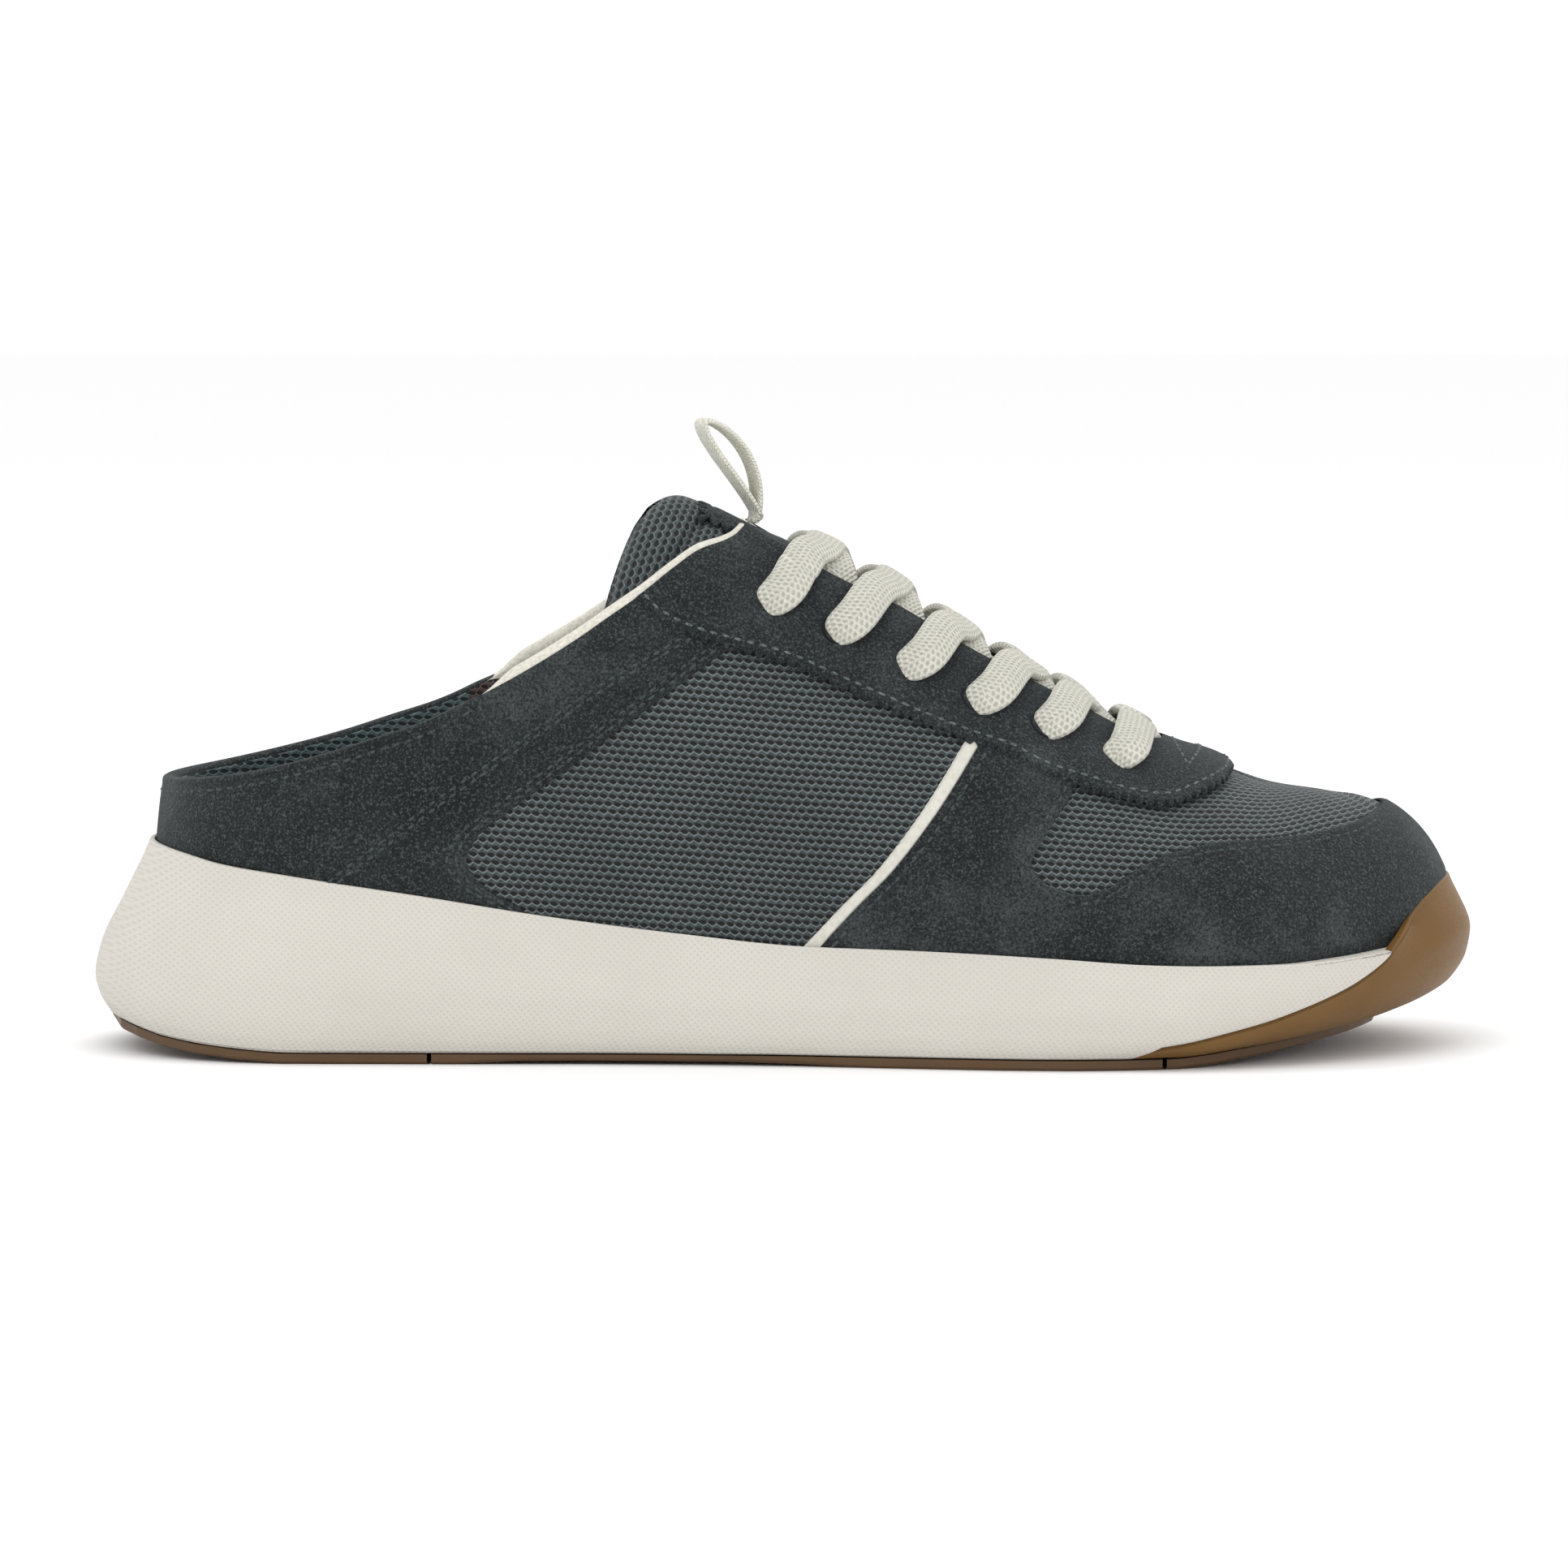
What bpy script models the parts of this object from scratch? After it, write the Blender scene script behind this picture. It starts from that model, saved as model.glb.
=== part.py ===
"""Backless slip-on lace-front shoe, right foot, built as a shoemaker would assemble it.

Metres, +X to the toe, +Y to the medial side, +Z up, the sole standing on Z = 0.
Two surfaces carry everything: the side wall of the sole, and the last that the upper is pulled over.
Both are asked for a point by a share of the length, a side and a height, so every piece follows the same sizes.
"""

import bmesh
import bpy
import math
from mathutils import Vector

# Driving sizes
LENGTH = 0.285
BALL_WIDTH = 0.104
HEEL_STACK = 0.043
INSTEP_HEIGHT = 0.107
HEEL_FLARE = 0.0115
SIDE_FLARE = 0.0035
TOE_TUCK = 0.019
SLAB = 0.0024
TOE_SWEEP = 0.008
HEEL_LIFT = 0.0052
TOE_LIFT = 0.0048
ARCH_LIFT = 0.0008
LIP = 0.001
BUMPER_WALL = 0.0024
UPPER_WALL = 0.002
OVERLAY = 0.001
GAP = 0.0003
OVERLAY_GAP = 0.0004
INSOLE = 0.004
INSOLE_FIT = 0.0007
TONGUE_PAD = 0.0055
TONGUE_CLEARANCE = 0.0013
TONGUE_LENGTH = 0.118
TONGUE_HALF = 0.0285
PATCH = 0.001
BINDING_RADIUS = 0.0009
SEAM = 0.0005
COLLAR_HEIGHT = 0.105
THROAT_HALF = 0.0155
LACE_WIDTH = 0.0085
LACE_THICKNESS = 0.0024
LACE_RUN, LACE_RUN_FRONT = 0.80, 0.56
LACE_BOW = 0.005
LACE_OVER = 0.0009
LACE_DIP, LACE_DIP_INSET = 0.0034, 0.0016
EYELET_ROWS = 6
LOOP_HEIGHT = 0.0215
LOOP_REACH = 0.011
LOOP_WIDTH = 0.008
LOOP_TAPE = 0.0013
LOOP_TURN = 17
GROOVE = 0.001

LATERAL, MEDIAL = -1, 1
HEEL_STATIONS = 20
TOE_STATIONS = 11
HEEL_ROUND, HEEL_POWER = 0.17, 2.3
TOE_ROUND, TOE_POWER = 0.32, 2.2
HEEL, TOE = 0.0, 1.0

# share of length, centre and half width as shares of half the ball width
PLAN = (
    (0.00, 0.000, 0.760),
    (0.12, -0.020, 0.780),
    (0.20, -0.025, 0.780),
    (0.30, -0.048, 0.768),
    (0.40, -0.082, 0.742),
    (0.50, -0.100, 0.760),
    (0.60, -0.096, 0.838),
    (0.68, -0.080, 0.925),
    (0.76, -0.054, 1.000),
    (0.84, -0.015, 1.045),
    (0.92, 0.055, 1.060),
    (1.00, 0.105, 1.060),
)

# share of length, top rim of the midsole as a share of the heel stack
RIM = (
    (0.00, 1.000),
    (0.03, 0.965),
    (0.06, 0.926),
    (0.11, 0.885),
    (0.16, 0.839),
    (0.21, 0.792),
    (0.30, 0.702),
    (0.40, 0.620),
    (0.50, 0.560),
    (0.59, 0.545),
    (0.68, 0.521),
    (0.75, 0.495),
    (0.80, 0.487),
    (0.85, 0.486),
    (0.90, 0.504),
    (0.94, 0.530),
    (1.00, 0.570),
)

# share of length, floor of the recess in the midsole as a share of the heel stack
FLOOR = (
    (0.00, 0.600),
    (0.20, 0.560),
    (0.40, 0.480),
    (0.50, 0.435),
    (0.60, 0.405),
    (0.80, 0.370),
    (0.86, 0.392),
    (0.92, 0.442),
    (1.00, 0.480),
)

# share of length, heel lift, arch lift and toe lift of the tread, each as a share of its size
TREAD_LINE = (
    (0.00, 1.00, 0.0, 0.00),
    (0.02, 0.78, 0.0, 0.00),
    (0.05, 0.44, 0.0, 0.00),
    (0.10, 0.15, 0.0, 0.00),
    (0.15, 0.00, 0.0, 0.00),
    (0.27, 0.00, 0.0, 0.00),
    (0.34, 0.00, 1.0, 0.00),
    (0.50, 0.00, 1.0, 0.00),
    (0.60, 0.00, 0.0, 0.00),
    (0.83, 0.00, 0.0, 0.00),
    (0.88, 0.00, 0.0, 0.26),
    (0.92, 0.00, 0.0, 0.50),
    (0.96, 0.00, 0.0, 0.75),
    (1.00, 0.00, 0.0, 1.00),
)

# share of wall height, then how far the wall stands in at heel, side and toe, as shares of the flares and tuck
WALL = (
    (0.00, 0.26, 0.70, 1.00),
    (0.10, 0.08, 0.23, 0.66),
    (0.21, 0.00, 0.03, 0.43),
    (0.38, 0.10, 0.00, 0.21),
    (0.70, 0.57, 0.43, 0.04),
    (1.00, 1.00, 1.00, 0.00),
    (1.30, 1.25, 1.00, 0.03),
    (1.52, 1.50, 1.20, 0.12),
    (1.62, 1.60, 1.50, 0.20),
)

# share of length, height of the bumper's top edge as a share of the wall height
BUMPER_EDGE = (
    (0.795, 0.10),
    (0.810, 0.15),
    (0.835, 0.28),
    (0.862, 0.40),
    (0.885, 0.53),
    (0.905, 0.68),
    (0.925, 0.90),
    (0.935, 1.08),
    (0.955, 1.27),
    (0.975, 1.45),
    (1.000, 1.58),
)
BUMPER_START = BUMPER_EDGE[0][0]
BUMPER_FULL = 0.930
BUMPER_RISE = 0.923
BUMPER_WRAP = 0.955
NOTCH = 0.003
BUMPER_SHOULDER = 0.88
BUMPER_STEP = 0.012

# share of length along the foot edge, share of length where the rib meets the ridge, roundness of the rib
RIBS = (
    (0.00, 0.200, 1.75),
    (0.15, 0.240, 1.85),
    (0.30, 0.320, 2.00),
    (0.40, 0.400, 2.05),
    (0.50, 0.500, 1.96),
    (0.60, 0.600, 1.86),
    (0.70, 0.700, 1.82),
    (0.80, 0.790, 1.92),
    (0.90, 0.855, 2.05),
    (1.00, 0.900, 2.10),
)

# share of length, height of the ridge of the last as a share of the instep height
RIDGE = (
    (0.200, 1.220),
    (0.350, 1.150),
    (0.420, 1.095),
    (0.450, 1.062),
    (0.500, 1.000),
    (0.535, 0.972),
    (0.570, 0.936),
    (0.605, 0.884),
    (0.640, 0.825),
    (0.675, 0.765),
    (0.710, 0.704),
    (0.745, 0.642),
    (0.775, 0.597),
    (0.800, 0.563),
    (0.825, 0.530),
    (0.850, 0.507),
    (0.875, 0.494),
    (0.900, 0.483),
)

# share of length, height of the collar's edge as a share of the collar height
COLLAR = (
    (0.040, 0.520),
    (0.085, 0.534),
    (0.110, 0.545),
    (0.143, 0.565),
    (0.176, 0.590),
    (0.208, 0.618),
    (0.240, 0.646),
    (0.262, 0.672),
    (0.284, 0.705),
    (0.307, 0.738),
    (0.330, 0.774),
    (0.353, 0.813),
    (0.375, 0.854),
    (0.399, 0.898),
    (0.422, 0.946),
    (0.439, 0.977),
    (0.462, 0.999),
    (0.480, 1.060),
    (0.520, 1.300),
)

# share of length, half width of the throat as a share of its widest
THROAT = (
    (0.430, 0.66),
    (0.500, 0.76),
    (0.550, 0.86),
    (0.600, 0.85),
    (0.700, 0.72),
    (0.740, 0.62),
    (0.758, 0.50),
    (0.770, 0.30),
    (0.776, 0.00),
)
THROAT_END = THROAT[-1][0]

# share of length, height of the eyelets as a share of the instep height
EYELET_LINE = (
    (0.491, 0.864),
    (0.540, 0.808),
    (0.589, 0.740),
    (0.639, 0.672),
    (0.688, 0.621),
    (0.737, 0.560),
)

# share of length, lower edge of the eyestay and top edge of the toe panel, as shares of the instep height
EYESTAY_EDGE = (
    (0.394, 0.880),
    (0.411, 0.833),
    (0.437, 0.799),
    (0.463, 0.779),
    (0.502, 0.750),
    (0.540, 0.705),
    (0.591, 0.646),
    (0.632, 0.601),
    (0.661, 0.574),
    (0.686, 0.541),
    (0.712, 0.514),
    (0.746, 0.486),
    (0.771, 0.478),
    (0.789, 0.488),
    (0.814, 0.511),
    (0.822, 0.528),
)
EYESTAY_BACK, EYESTAY_FRONT = 0.394, 0.822
TOE_PANEL_EDGE = (
    (0.6745, 0.375),
    (0.681, 0.355),
    (0.693, 0.336),
    (0.711, 0.326),
    (0.728, 0.338),
    (0.744, 0.363),
    (0.766, 0.392),
    (0.786, 0.406),
    (0.807, 0.416),
    (0.867, 0.424),
    (0.904, 0.434),
    (0.925, 0.452),
    (0.940, 0.468),
)

# height as a share of the instep height, share of length of the rear edge of the vamp's mesh window
WINDOW_EDGE = (
    (0.200, 0.6760),
    (0.375, 0.6745),
    (0.460, 0.6910),
    (0.520, 0.7050),
)

# height as a share of the instep height, share of length of a seam of the side
COUNTER_SEAM = (
    (0.300, 0.178),
    (0.342, 0.192),
    (0.424, 0.232),
    (0.493, 0.266),
    (0.569, 0.307),
    (0.645, 0.347),
    (0.706, 0.381),
    (0.789, 0.436),
    (0.850, 0.470),
)
QUARTER_SEAM = (
    (0.250, 0.330),
    (0.297, 0.312),
    (0.332, 0.289),
    (0.382, 0.275),
    (0.424, 0.281),
    (0.470, 0.301),
    (0.528, 0.332),
    (0.645, 0.391),
    (0.706, 0.422),
    (0.763, 0.451),
    (0.800, 0.468),
)
STRIPE_SEAM = (
    (0.200, 0.505),
    (0.225, 0.514),
    (0.304, 0.542),
    (0.366, 0.565),
    (0.465, 0.594),
    (0.533, 0.611),
    (0.593, 0.625),
    (0.650, 0.638),
)

STRIPE_WIDTH = 0.0031
COUNTER_START = 0.10
BINDING_BACK = 0.262

HEEL_SLAB_END = 0.257
FOREFOOT_SLAB_START = 0.822
EYELET_FIRST, EYELET_LAST = 0.491, 0.737


def clear_scene():
    for item in list(bpy.data.objects):
        bpy.data.objects.remove(item)


def lerp(a, b, share):
    return a + (b - a) * share


def read(table, column, share):
    """Value of a table's column at a share, on a smooth curve that does not overshoot its rows."""
    if share <= table[0][0]:
        return table[0][column]
    if share >= table[-1][0]:
        return table[-1][column]
    row = next(i for i in range(len(table) - 1) if table[i + 1][0] >= share)

    def slope(i):
        if i <= 0 or i >= len(table) - 1:
            return 0.0 if 0 < len(table) - 1 <= i or i < 0 else steps(0 if i <= 0 else i - 1)
        before, after = steps(i - 1), steps(i)
        if before * after <= 0:
            return 0.0
        return 2 * before * after / (before + after)

    def steps(i):
        return (table[i + 1][column] - table[i][column]) / (table[i + 1][0] - table[i][0])

    span = table[row + 1][0] - table[row][0]
    t = (share - table[row][0]) / span
    first, last = table[row][column], table[row + 1][column]
    return (
        (2 * t**3 - 3 * t**2 + 1) * first
        + (t**3 - 2 * t**2 + t) * span * slope(row)
        + (3 * t**2 - 2 * t**3) * last
        + (t**3 - t**2) * span * slope(row + 1)
    )


def smooth_step(low, high, value):
    t = min(1.0, max(0.0, (value - low) / (high - low)))
    return t * t * (3 - 2 * t)


def closing(share):
    """How the outline rounds off to nothing at the heel and at the toe."""
    if share < HEEL_ROUND:
        d, power = 1 - share / HEEL_ROUND, HEEL_POWER
    elif share > 1 - TOE_ROUND:
        d, power = 1 - (1 - share) / TOE_ROUND, TOE_POWER
    else:
        return 1.0
    return max(0.0, 1 - d**power) ** (1 / power)


def raw_edge(share, side):
    half = BALL_WIDTH / 2
    return half * (read(PLAN, 1, share) + side * read(PLAN, 2, share) * closing(share))


def middle_of_outline():
    """The outline's own middle in Y, so that the shoe is centred on X = Y = 0."""
    shares = [i / 200 for i in range(201)]
    left = min(raw_edge(share, LATERAL) for share in shares)
    right = max(raw_edge(share, MEDIAL) for share in shares)
    return (left + right) / 2


Y_MIDDLE = middle_of_outline()


def centre(share):
    return BALL_WIDTH / 2 * read(PLAN, 1, share) - Y_MIDDLE


def plan(share, side, heel_in, side_in, toe_in):
    """A point of the sole's outline, drawn in by a distance at the heel, the sides and the toe."""
    x = -LENGTH / 2 + heel_in + share * (LENGTH - heel_in - toe_in)
    half = BALL_WIDTH / 2 * read(PLAN, 2, share) - side_in
    return x, centre(share) + side * half * closing(share)


def share_at(x):
    return (x + LENGTH / 2) / LENGTH


def x_at(share):
    return -LENGTH / 2 + share * LENGTH


def tread(share):
    """Height of the tread's underside."""
    return (
        HEEL_LIFT * read(TREAD_LINE, 1, share)
        + ARCH_LIFT * read(TREAD_LINE, 2, share)
        + TOE_LIFT * read(TREAD_LINE, 3, share)
    )


def wall_foot(share):
    return tread(share) - ARCH_LIFT * read(TREAD_LINE, 2, share) + SLAB


def rim(share):
    return HEEL_STACK * read(RIM, 1, share)


def wall(share, side, height, depth=0.0):
    """A point on the sole's side wall, or a depth inside it. Height 0 is its foot and 1 the rim."""
    fade = 1 - smooth_step(0.84, 0.94, share)

    def at(s, h):
        x, y = plan(
            s,
            side,
            HEEL_FLARE * read(WALL, 1, h),
            SIDE_FLARE * read(WALL, 2, h) * fade,
            TOE_TUCK * read(WALL, 3, h),
        )
        return Vector((x, y, lerp(wall_foot(s), rim(s), h)))

    point = at(share, height)
    if not depth:
        return point
    step = 0.01
    rise = at(share, min(height + step, WALL[-1][0])) - at(share, max(height - step, 0.0))
    near = min(max(share, 0.002), 0.998)
    run = at(near + 0.0015, height) - at(near - 0.0015, height)
    if share > 0.999 or share < 0.001:
        run = Vector((0, 1, 0))
    inward = run.cross(rise).normalized()
    if inward.dot(Vector((0, centre(share), point.z)) - point) < 0:
        inward.negate()
    return point + inward * depth


UPPER_IN = (
    HEEL_FLARE + LIP + GAP,
    SIDE_FLARE + LIP + GAP,
    BUMPER_WALL + GAP + LIP + GAP,
)


def inside(extra):
    """Insets of an outline that lies a distance inside the upper's own."""
    return tuple(inset + extra for inset in UPPER_IN)


def floor_height(share):
    return HEEL_STACK * read(FLOOR, 1, share)


def ridge_height(share):
    return INSTEP_HEIGHT * read(RIDGE, 1, share)


def rib(share, side, v):
    """A point of the last. v runs from 0 at the foot edge to 1 at the ridge."""
    foot_x, foot_y = plan(share, side, *UPPER_IN)
    foot_z = floor_height(share) + GAP
    top = read(RIBS, 1, share)
    top_x, top_y, top_z = x_at(top), centre(top), ridge_height(top)
    power = 2 / read(RIBS, 2, share)
    out = max(0.0, math.cos(v * math.pi / 2)) ** power
    up = max(0.0, math.sin(v * math.pi / 2)) ** power
    return Vector(
        (lerp(top_x, foot_x, out), lerp(top_y, foot_y, out), lerp(foot_z, top_z, up))
    )


def last_normal(share, side, v):
    """Outward direction of the last at a point."""
    if v > 0.985:
        both = last_normal(share, LATERAL, 0.985) + last_normal(share, MEDIAL, 0.985)
        return both.normalized()
    low, high = max(v - 0.01, 0.0), min(v + 0.01, 1.0)
    rise = rib(share, side, high) - rib(share, side, low)
    if share < 0.0005 or share > 0.9995:
        near = 0.001 if share < 0.5 else 0.999
        run = rib(near, MEDIAL, v) - rib(near, LATERAL, v)
    else:
        near = min(share, 1 - share, 0.002) * 0.5
        run = rib(share + near, side, v) - rib(share - near, side, v)
    out = run.cross(rise).normalized()
    point = rib(share, side, v)
    top = read(RIBS, 1, share)
    core = Vector((x_at(top), centre(top), floor_height(share)))
    if out.dot(point - core) < 0:
        out.negate()
    return out


def last_point(share, side, v, offset=0.0):
    point = rib(share, side, v)
    return point + last_normal(share, side, v) * offset if offset else point


def v_at_height(share, height):
    """How far up its rib a height is reached."""
    foot = floor_height(share) + GAP
    top = ridge_height(read(RIBS, 1, share))
    up = min(1.0, max(0.0, (height - foot) / (top - foot)))
    return math.asin(up ** (read(RIBS, 2, share) / 2)) * 2 / math.pi


def v_at_line(share, side, line):
    """How far up its rib a line of the side view is met. The line gives a height for an X."""
    low, high = 0.0, 1.0
    for _ in range(26):
        v = (low + high) / 2
        point = rib(share, side, v)
        if point.z < line(point.x):
            low = v
        else:
            high = v
    return high if high < 0.9999 else 1.0


def spot(x, z, side):
    """The share and v at which the side of the last is met at an X and a height."""
    share = share_at(x)
    for _ in range(10):
        v = v_at_height(share, z)
        share = min(max(share + (x - rib(share, side, v).x) / LENGTH, 0.0), 1.0)
    return share, side, v


def collar_line(x):
    return COLLAR_HEIGHT * read(COLLAR, 1, share_at(x))


def throat_half(x):
    return THROAT_HALF * read(THROAT, 1, share_at(x))


def opening(share, side):
    """v of the edge of the foot opening: the collar, then the throat, then none."""
    v = v_at_line(share, side, collar_line)
    if share > THROAT_END:
        return 1.0
    if share > THROAT[0][0]:
        low, high = 0.5, 1.0
        for _ in range(26):
            middle = (low + high) / 2
            point = rib(share, side, middle)
            if abs(point.y - centre(share)) > throat_half(point.x):
                low = middle
            else:
                high = middle
        v = min(v, high)
    return v


def line_of(table, size):
    return lambda x: size * read(table, 1, share_at(x))


def lower_line(share):
    """Lowest height that a panel of the upper may have: clear of the rim and of the bumper."""
    top = rim(share)
    if share > BUMPER_FULL:
        top = lerp(wall_foot(share), rim(share), read(BUMPER_EDGE, 1, share))
    return top + GAP + SEAM


def spread(low, high, count):
    """Shares that bunch at the two ends of the shoe, where its outline turns."""
    first, last = (math.acos(1 - 2 * s) for s in (low, high))
    return [(1 - math.cos(lerp(first, last, i / count))) / 2 for i in range(count + 1)]


def stations():
    """Shares that the sole, the upper and the footbed are all lofted through."""
    shares = spread(HEEL, BUMPER_START, HEEL_STATIONS)[:-1]
    shares += spread(BUMPER_START, TOE, TOE_STATIONS)
    front_of_throat = [row[0] for row in THROAT if row[0] > THROAT_END - 0.02]
    notches = [BUMPER_START - NOTCH, BUMPER_RISE - NOTCH, BUMPER_RISE]
    return sorted([*shares, *front_of_throat, *notches, EYESTAY_FRONT - 0.008, EYESTAY_FRONT + 0.012])


def rim_line(x):
    """Lowest height that a panel of the side may have at an X."""
    share = (x + LENGTH / 2 - HEEL_FLARE) / (LENGTH - HEEL_FLARE)
    return rim(min(max(share, 0.0), 1.0)) + GAP + SEAM


def eyestay_line(x):
    return INSTEP_HEIGHT * read(EYESTAY_EDGE, 1, share_at(x))


def side_top_line(x):
    """Top of the rear panels: the collar's edge, then the eyestay's lower edge."""
    top = collar_line(x) - SEAM
    if share_at(x) > EYESTAY_BACK - SEAM / LENGTH * 3:
        top = min(top, eyestay_line(x) - SEAM * 3)
    return top


def edge_from(table, shift=0.0):
    """A slanted seam of the side view, as an X for a height."""
    return lambda z: x_at(read(table, 1, z / INSTEP_HEIGHT)) + shift


def meets(edge, line):
    """Height at which a seam of the side view meets a line that gives a height for an X."""
    low, high = 0.0, INSTEP_HEIGHT * 1.2
    for _ in range(30):
        z = (low + high) / 2
        if z < line(edge(z)):
            low = z
        else:
            high = z
    return z


def edge_points(edge, rows):
    """Points (X, height) of a seam from the sole's rim up to the top of the side."""
    low, high = meets(edge, rim_line), meets(edge, side_top_line)
    levels = [lerp(low, high, j / rows) for j in range(rows + 1)]
    return [(edge(z), z) for z in levels]


def material(name, colour, roughness):
    made = bpy.data.materials.new(name)
    made.use_nodes = True
    shader = made.node_tree.nodes["Principled BSDF"]
    shader.inputs["Base Color"].default_value = (*colour, 1)
    shader.inputs["Roughness"].default_value = roughness
    shader.inputs["Metallic"].default_value = 0.0
    return made


def finish_mesh(name, mesh, finish):
    """Puts a mesh in the shoe's collection under its node name, smooth but for sharp edges."""
    item = bpy.data.objects.new(name, mesh)
    bpy.data.collections["slip_on_shoe"].objects.link(item)
    mesh.shade_smooth()
    mesh.set_sharp_from_angle(angle=math.radians(40))
    mesh.materials.clear()
    mesh.materials.append(finish)
    return item


def mesh_from(work, name):
    mesh = bpy.data.meshes.new(name)
    work.to_mesh(mesh)
    work.free()
    return mesh


def loft(name, loops, finish):
    """Closed body through closed loops. A loop of zero width closes its own end."""
    work = bmesh.new()
    rows = [[work.verts.new(point) for point in loop] for loop in loops]
    count = len(rows[0])
    for row, after in zip(rows, rows[1:]):
        for i in range(count):
            j = (i + 1) % count
            work.faces.new((row[i], row[j], after[j], after[i]))
    for row in (rows[0], rows[-1]):
        for i in range(count // 2 - 1):
            j = count - 1 - i
            work.faces.new((row[i], row[i + 1], row[j - 1], row[j]))
    bmesh.ops.remove_doubles(work, verts=work.verts, dist=1e-6)
    doubled = [f for f in work.faces if len({v.index for v in f.verts}) < 3 or f.calc_area() < 1e-12]
    bmesh.ops.delete(work, geom=doubled, context="FACES_ONLY")
    loose = [e for e in work.edges if not e.link_faces]
    bmesh.ops.delete(work, geom=loose, context="EDGES")
    bmesh.ops.recalc_face_normals(work, faces=work.faces)
    return finish_mesh(name, mesh_from(work, name), finish)


def shell(name, strips, offset, thickness, finish):
    """Sheet of the last between strips of (share, side, v) points, thickened outwards."""
    work = bmesh.new()
    for grid in strips:
        rows = [[work.verts.new(last_point(*spot, offset)) for spot in row] for row in grid]
        for row, after in zip(rows, rows[1:]):
            for i in range(len(row) - 1):
                work.faces.new((row[i], row[i + 1], after[i + 1], after[i]))
    bmesh.ops.remove_doubles(work, verts=work.verts, dist=2e-6)
    bmesh.ops.recalc_face_normals(work, faces=work.faces)
    work.faces.ensure_lookup_table()
    share, side, v = strips[0][len(strips[0]) // 2][1]
    here = last_point(share, side, v, offset)
    nearest = min(work.faces, key=lambda f: (f.calc_center_median() - here).length)
    nearest.normal_update()
    if nearest.normal.dot(last_normal(share, side, v)) < 0:
        bmesh.ops.reverse_faces(work, faces=work.faces)
    item = finish_mesh(name, mesh_from(work, name), finish)
    thicken = item.modifiers.new("wall", "SOLIDIFY")
    thicken.thickness = abs(thickness)
    thicken.offset = 1 if thickness > 0 else -1
    thicken.use_even_offset = True
    return item


def strip(shares, side, low, high, count):
    """Grid from the line low to the line high on one side, a row for each pair of foot and top shares."""
    grid = []
    for foot, top in shares:
        row = []
        for i in range(count + 1):
            share = lerp(foot, top, i / count)
            v = lerp(low(share, side), high(share, side), i / count)
            row.append((share, side, v))
        grid.append(row)
    return grid


def upright(shares):
    return [(share, share) for share in shares]


def bumper_levels(share, extra=0.0):
    """Heights on the side wall that the bumper and the set-back beneath it share."""
    top = read(BUMPER_EDGE, 1, share)
    shoulder = min(top, BUMPER_SHOULDER)
    levels = [shoulder * i / 4 for i in range(4)]
    return [*levels, shoulder + extra], max(top, shoulder + BUMPER_STEP)


def make_midsole(finish):
    """Foam body with a recess on top for the upper, and a set-back under the bumper."""
    loops = []
    for share in stations():
        under = BUMPER_WALL + GAP if share >= BUMPER_START else 0.0
        over = BUMPER_WALL + GAP if share >= BUMPER_RISE else 0.0
        levels, _ = bumper_levels(share, BUMPER_STEP * 3)
        start = levels[-1] + BUMPER_STEP / 2
        sides = []
        for side in (LATERAL, MEDIAL):
            low = [wall(share, side, height, under) for height in levels]
            high = [wall(share, side, lerp(start, 1, i / 3), over) for i in range(4)]
            inner_x, inner_y = plan(share, side, *inside(-GAP))
            lip = Vector((inner_x, inner_y, rim(share)))
            floor = Vector((inner_x, inner_y, floor_height(share)))
            sides.append([*low, *high, lip, floor])
        loops.append(sides[0] + sides[1][::-1])
    return loft("midsole", loops, finish)


def make_insole(finish):
    """Removable footbed, inside the upper's wall."""
    loops = []
    drawn_in = inside(UPPER_WALL + INSOLE_FIT)
    softened = inside(UPPER_WALL + INSOLE_FIT + INSOLE / 4)
    for share in stations():
        base = floor_height(share) + GAP
        sides = []
        for side in (LATERAL, MEDIAL):
            x, y = plan(share, side, *drawn_in)
            top_x, top_y = plan(share, side, *softened)
            sides.append(
                [
                    Vector((x, y, base)),
                    Vector((x, y, base + INSOLE * 0.75)),
                    Vector((top_x, top_y, base + INSOLE)),
                ]
            )
        loops.append(sides[0] + sides[1][::-1])
    return loft("insole", loops, finish)


def make_slab(name, start, end, finish):
    """A block of the rubber tread, flat underneath where it meets the floor."""
    loops = []
    side_in = SIDE_FLARE * WALL[0][2] + GAP
    foot = (HEEL_FLARE * WALL[0][1] + GAP, side_in, TOE_TUCK + GAP)
    chamfer = SLAB / 4
    worn = tuple(inset + chamfer for inset in foot)
    slab_shares = [start, *[s for s in stations() if start + 0.004 < s < end - 0.004], end]
    for share in slab_shares:
        sides = []
        for side in (LATERAL, MEDIAL):
            x, y = plan(share, side, *foot)
            low_x, low_y = plan(share, side, *worn)
            low_x -= TOE_SWEEP * smooth_step(0.90, 1.0, share)
            under = tread(share)
            sides.append(
                [
                    Vector((low_x, low_y, under)),
                    Vector((x, y, under + chamfer)),
                    Vector((x, y, wall_foot(share) - GAP)),
                ]
            )
        loops.append(sides[0] + sides[1][::-1])
    return loft(name, loops, finish)


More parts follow.
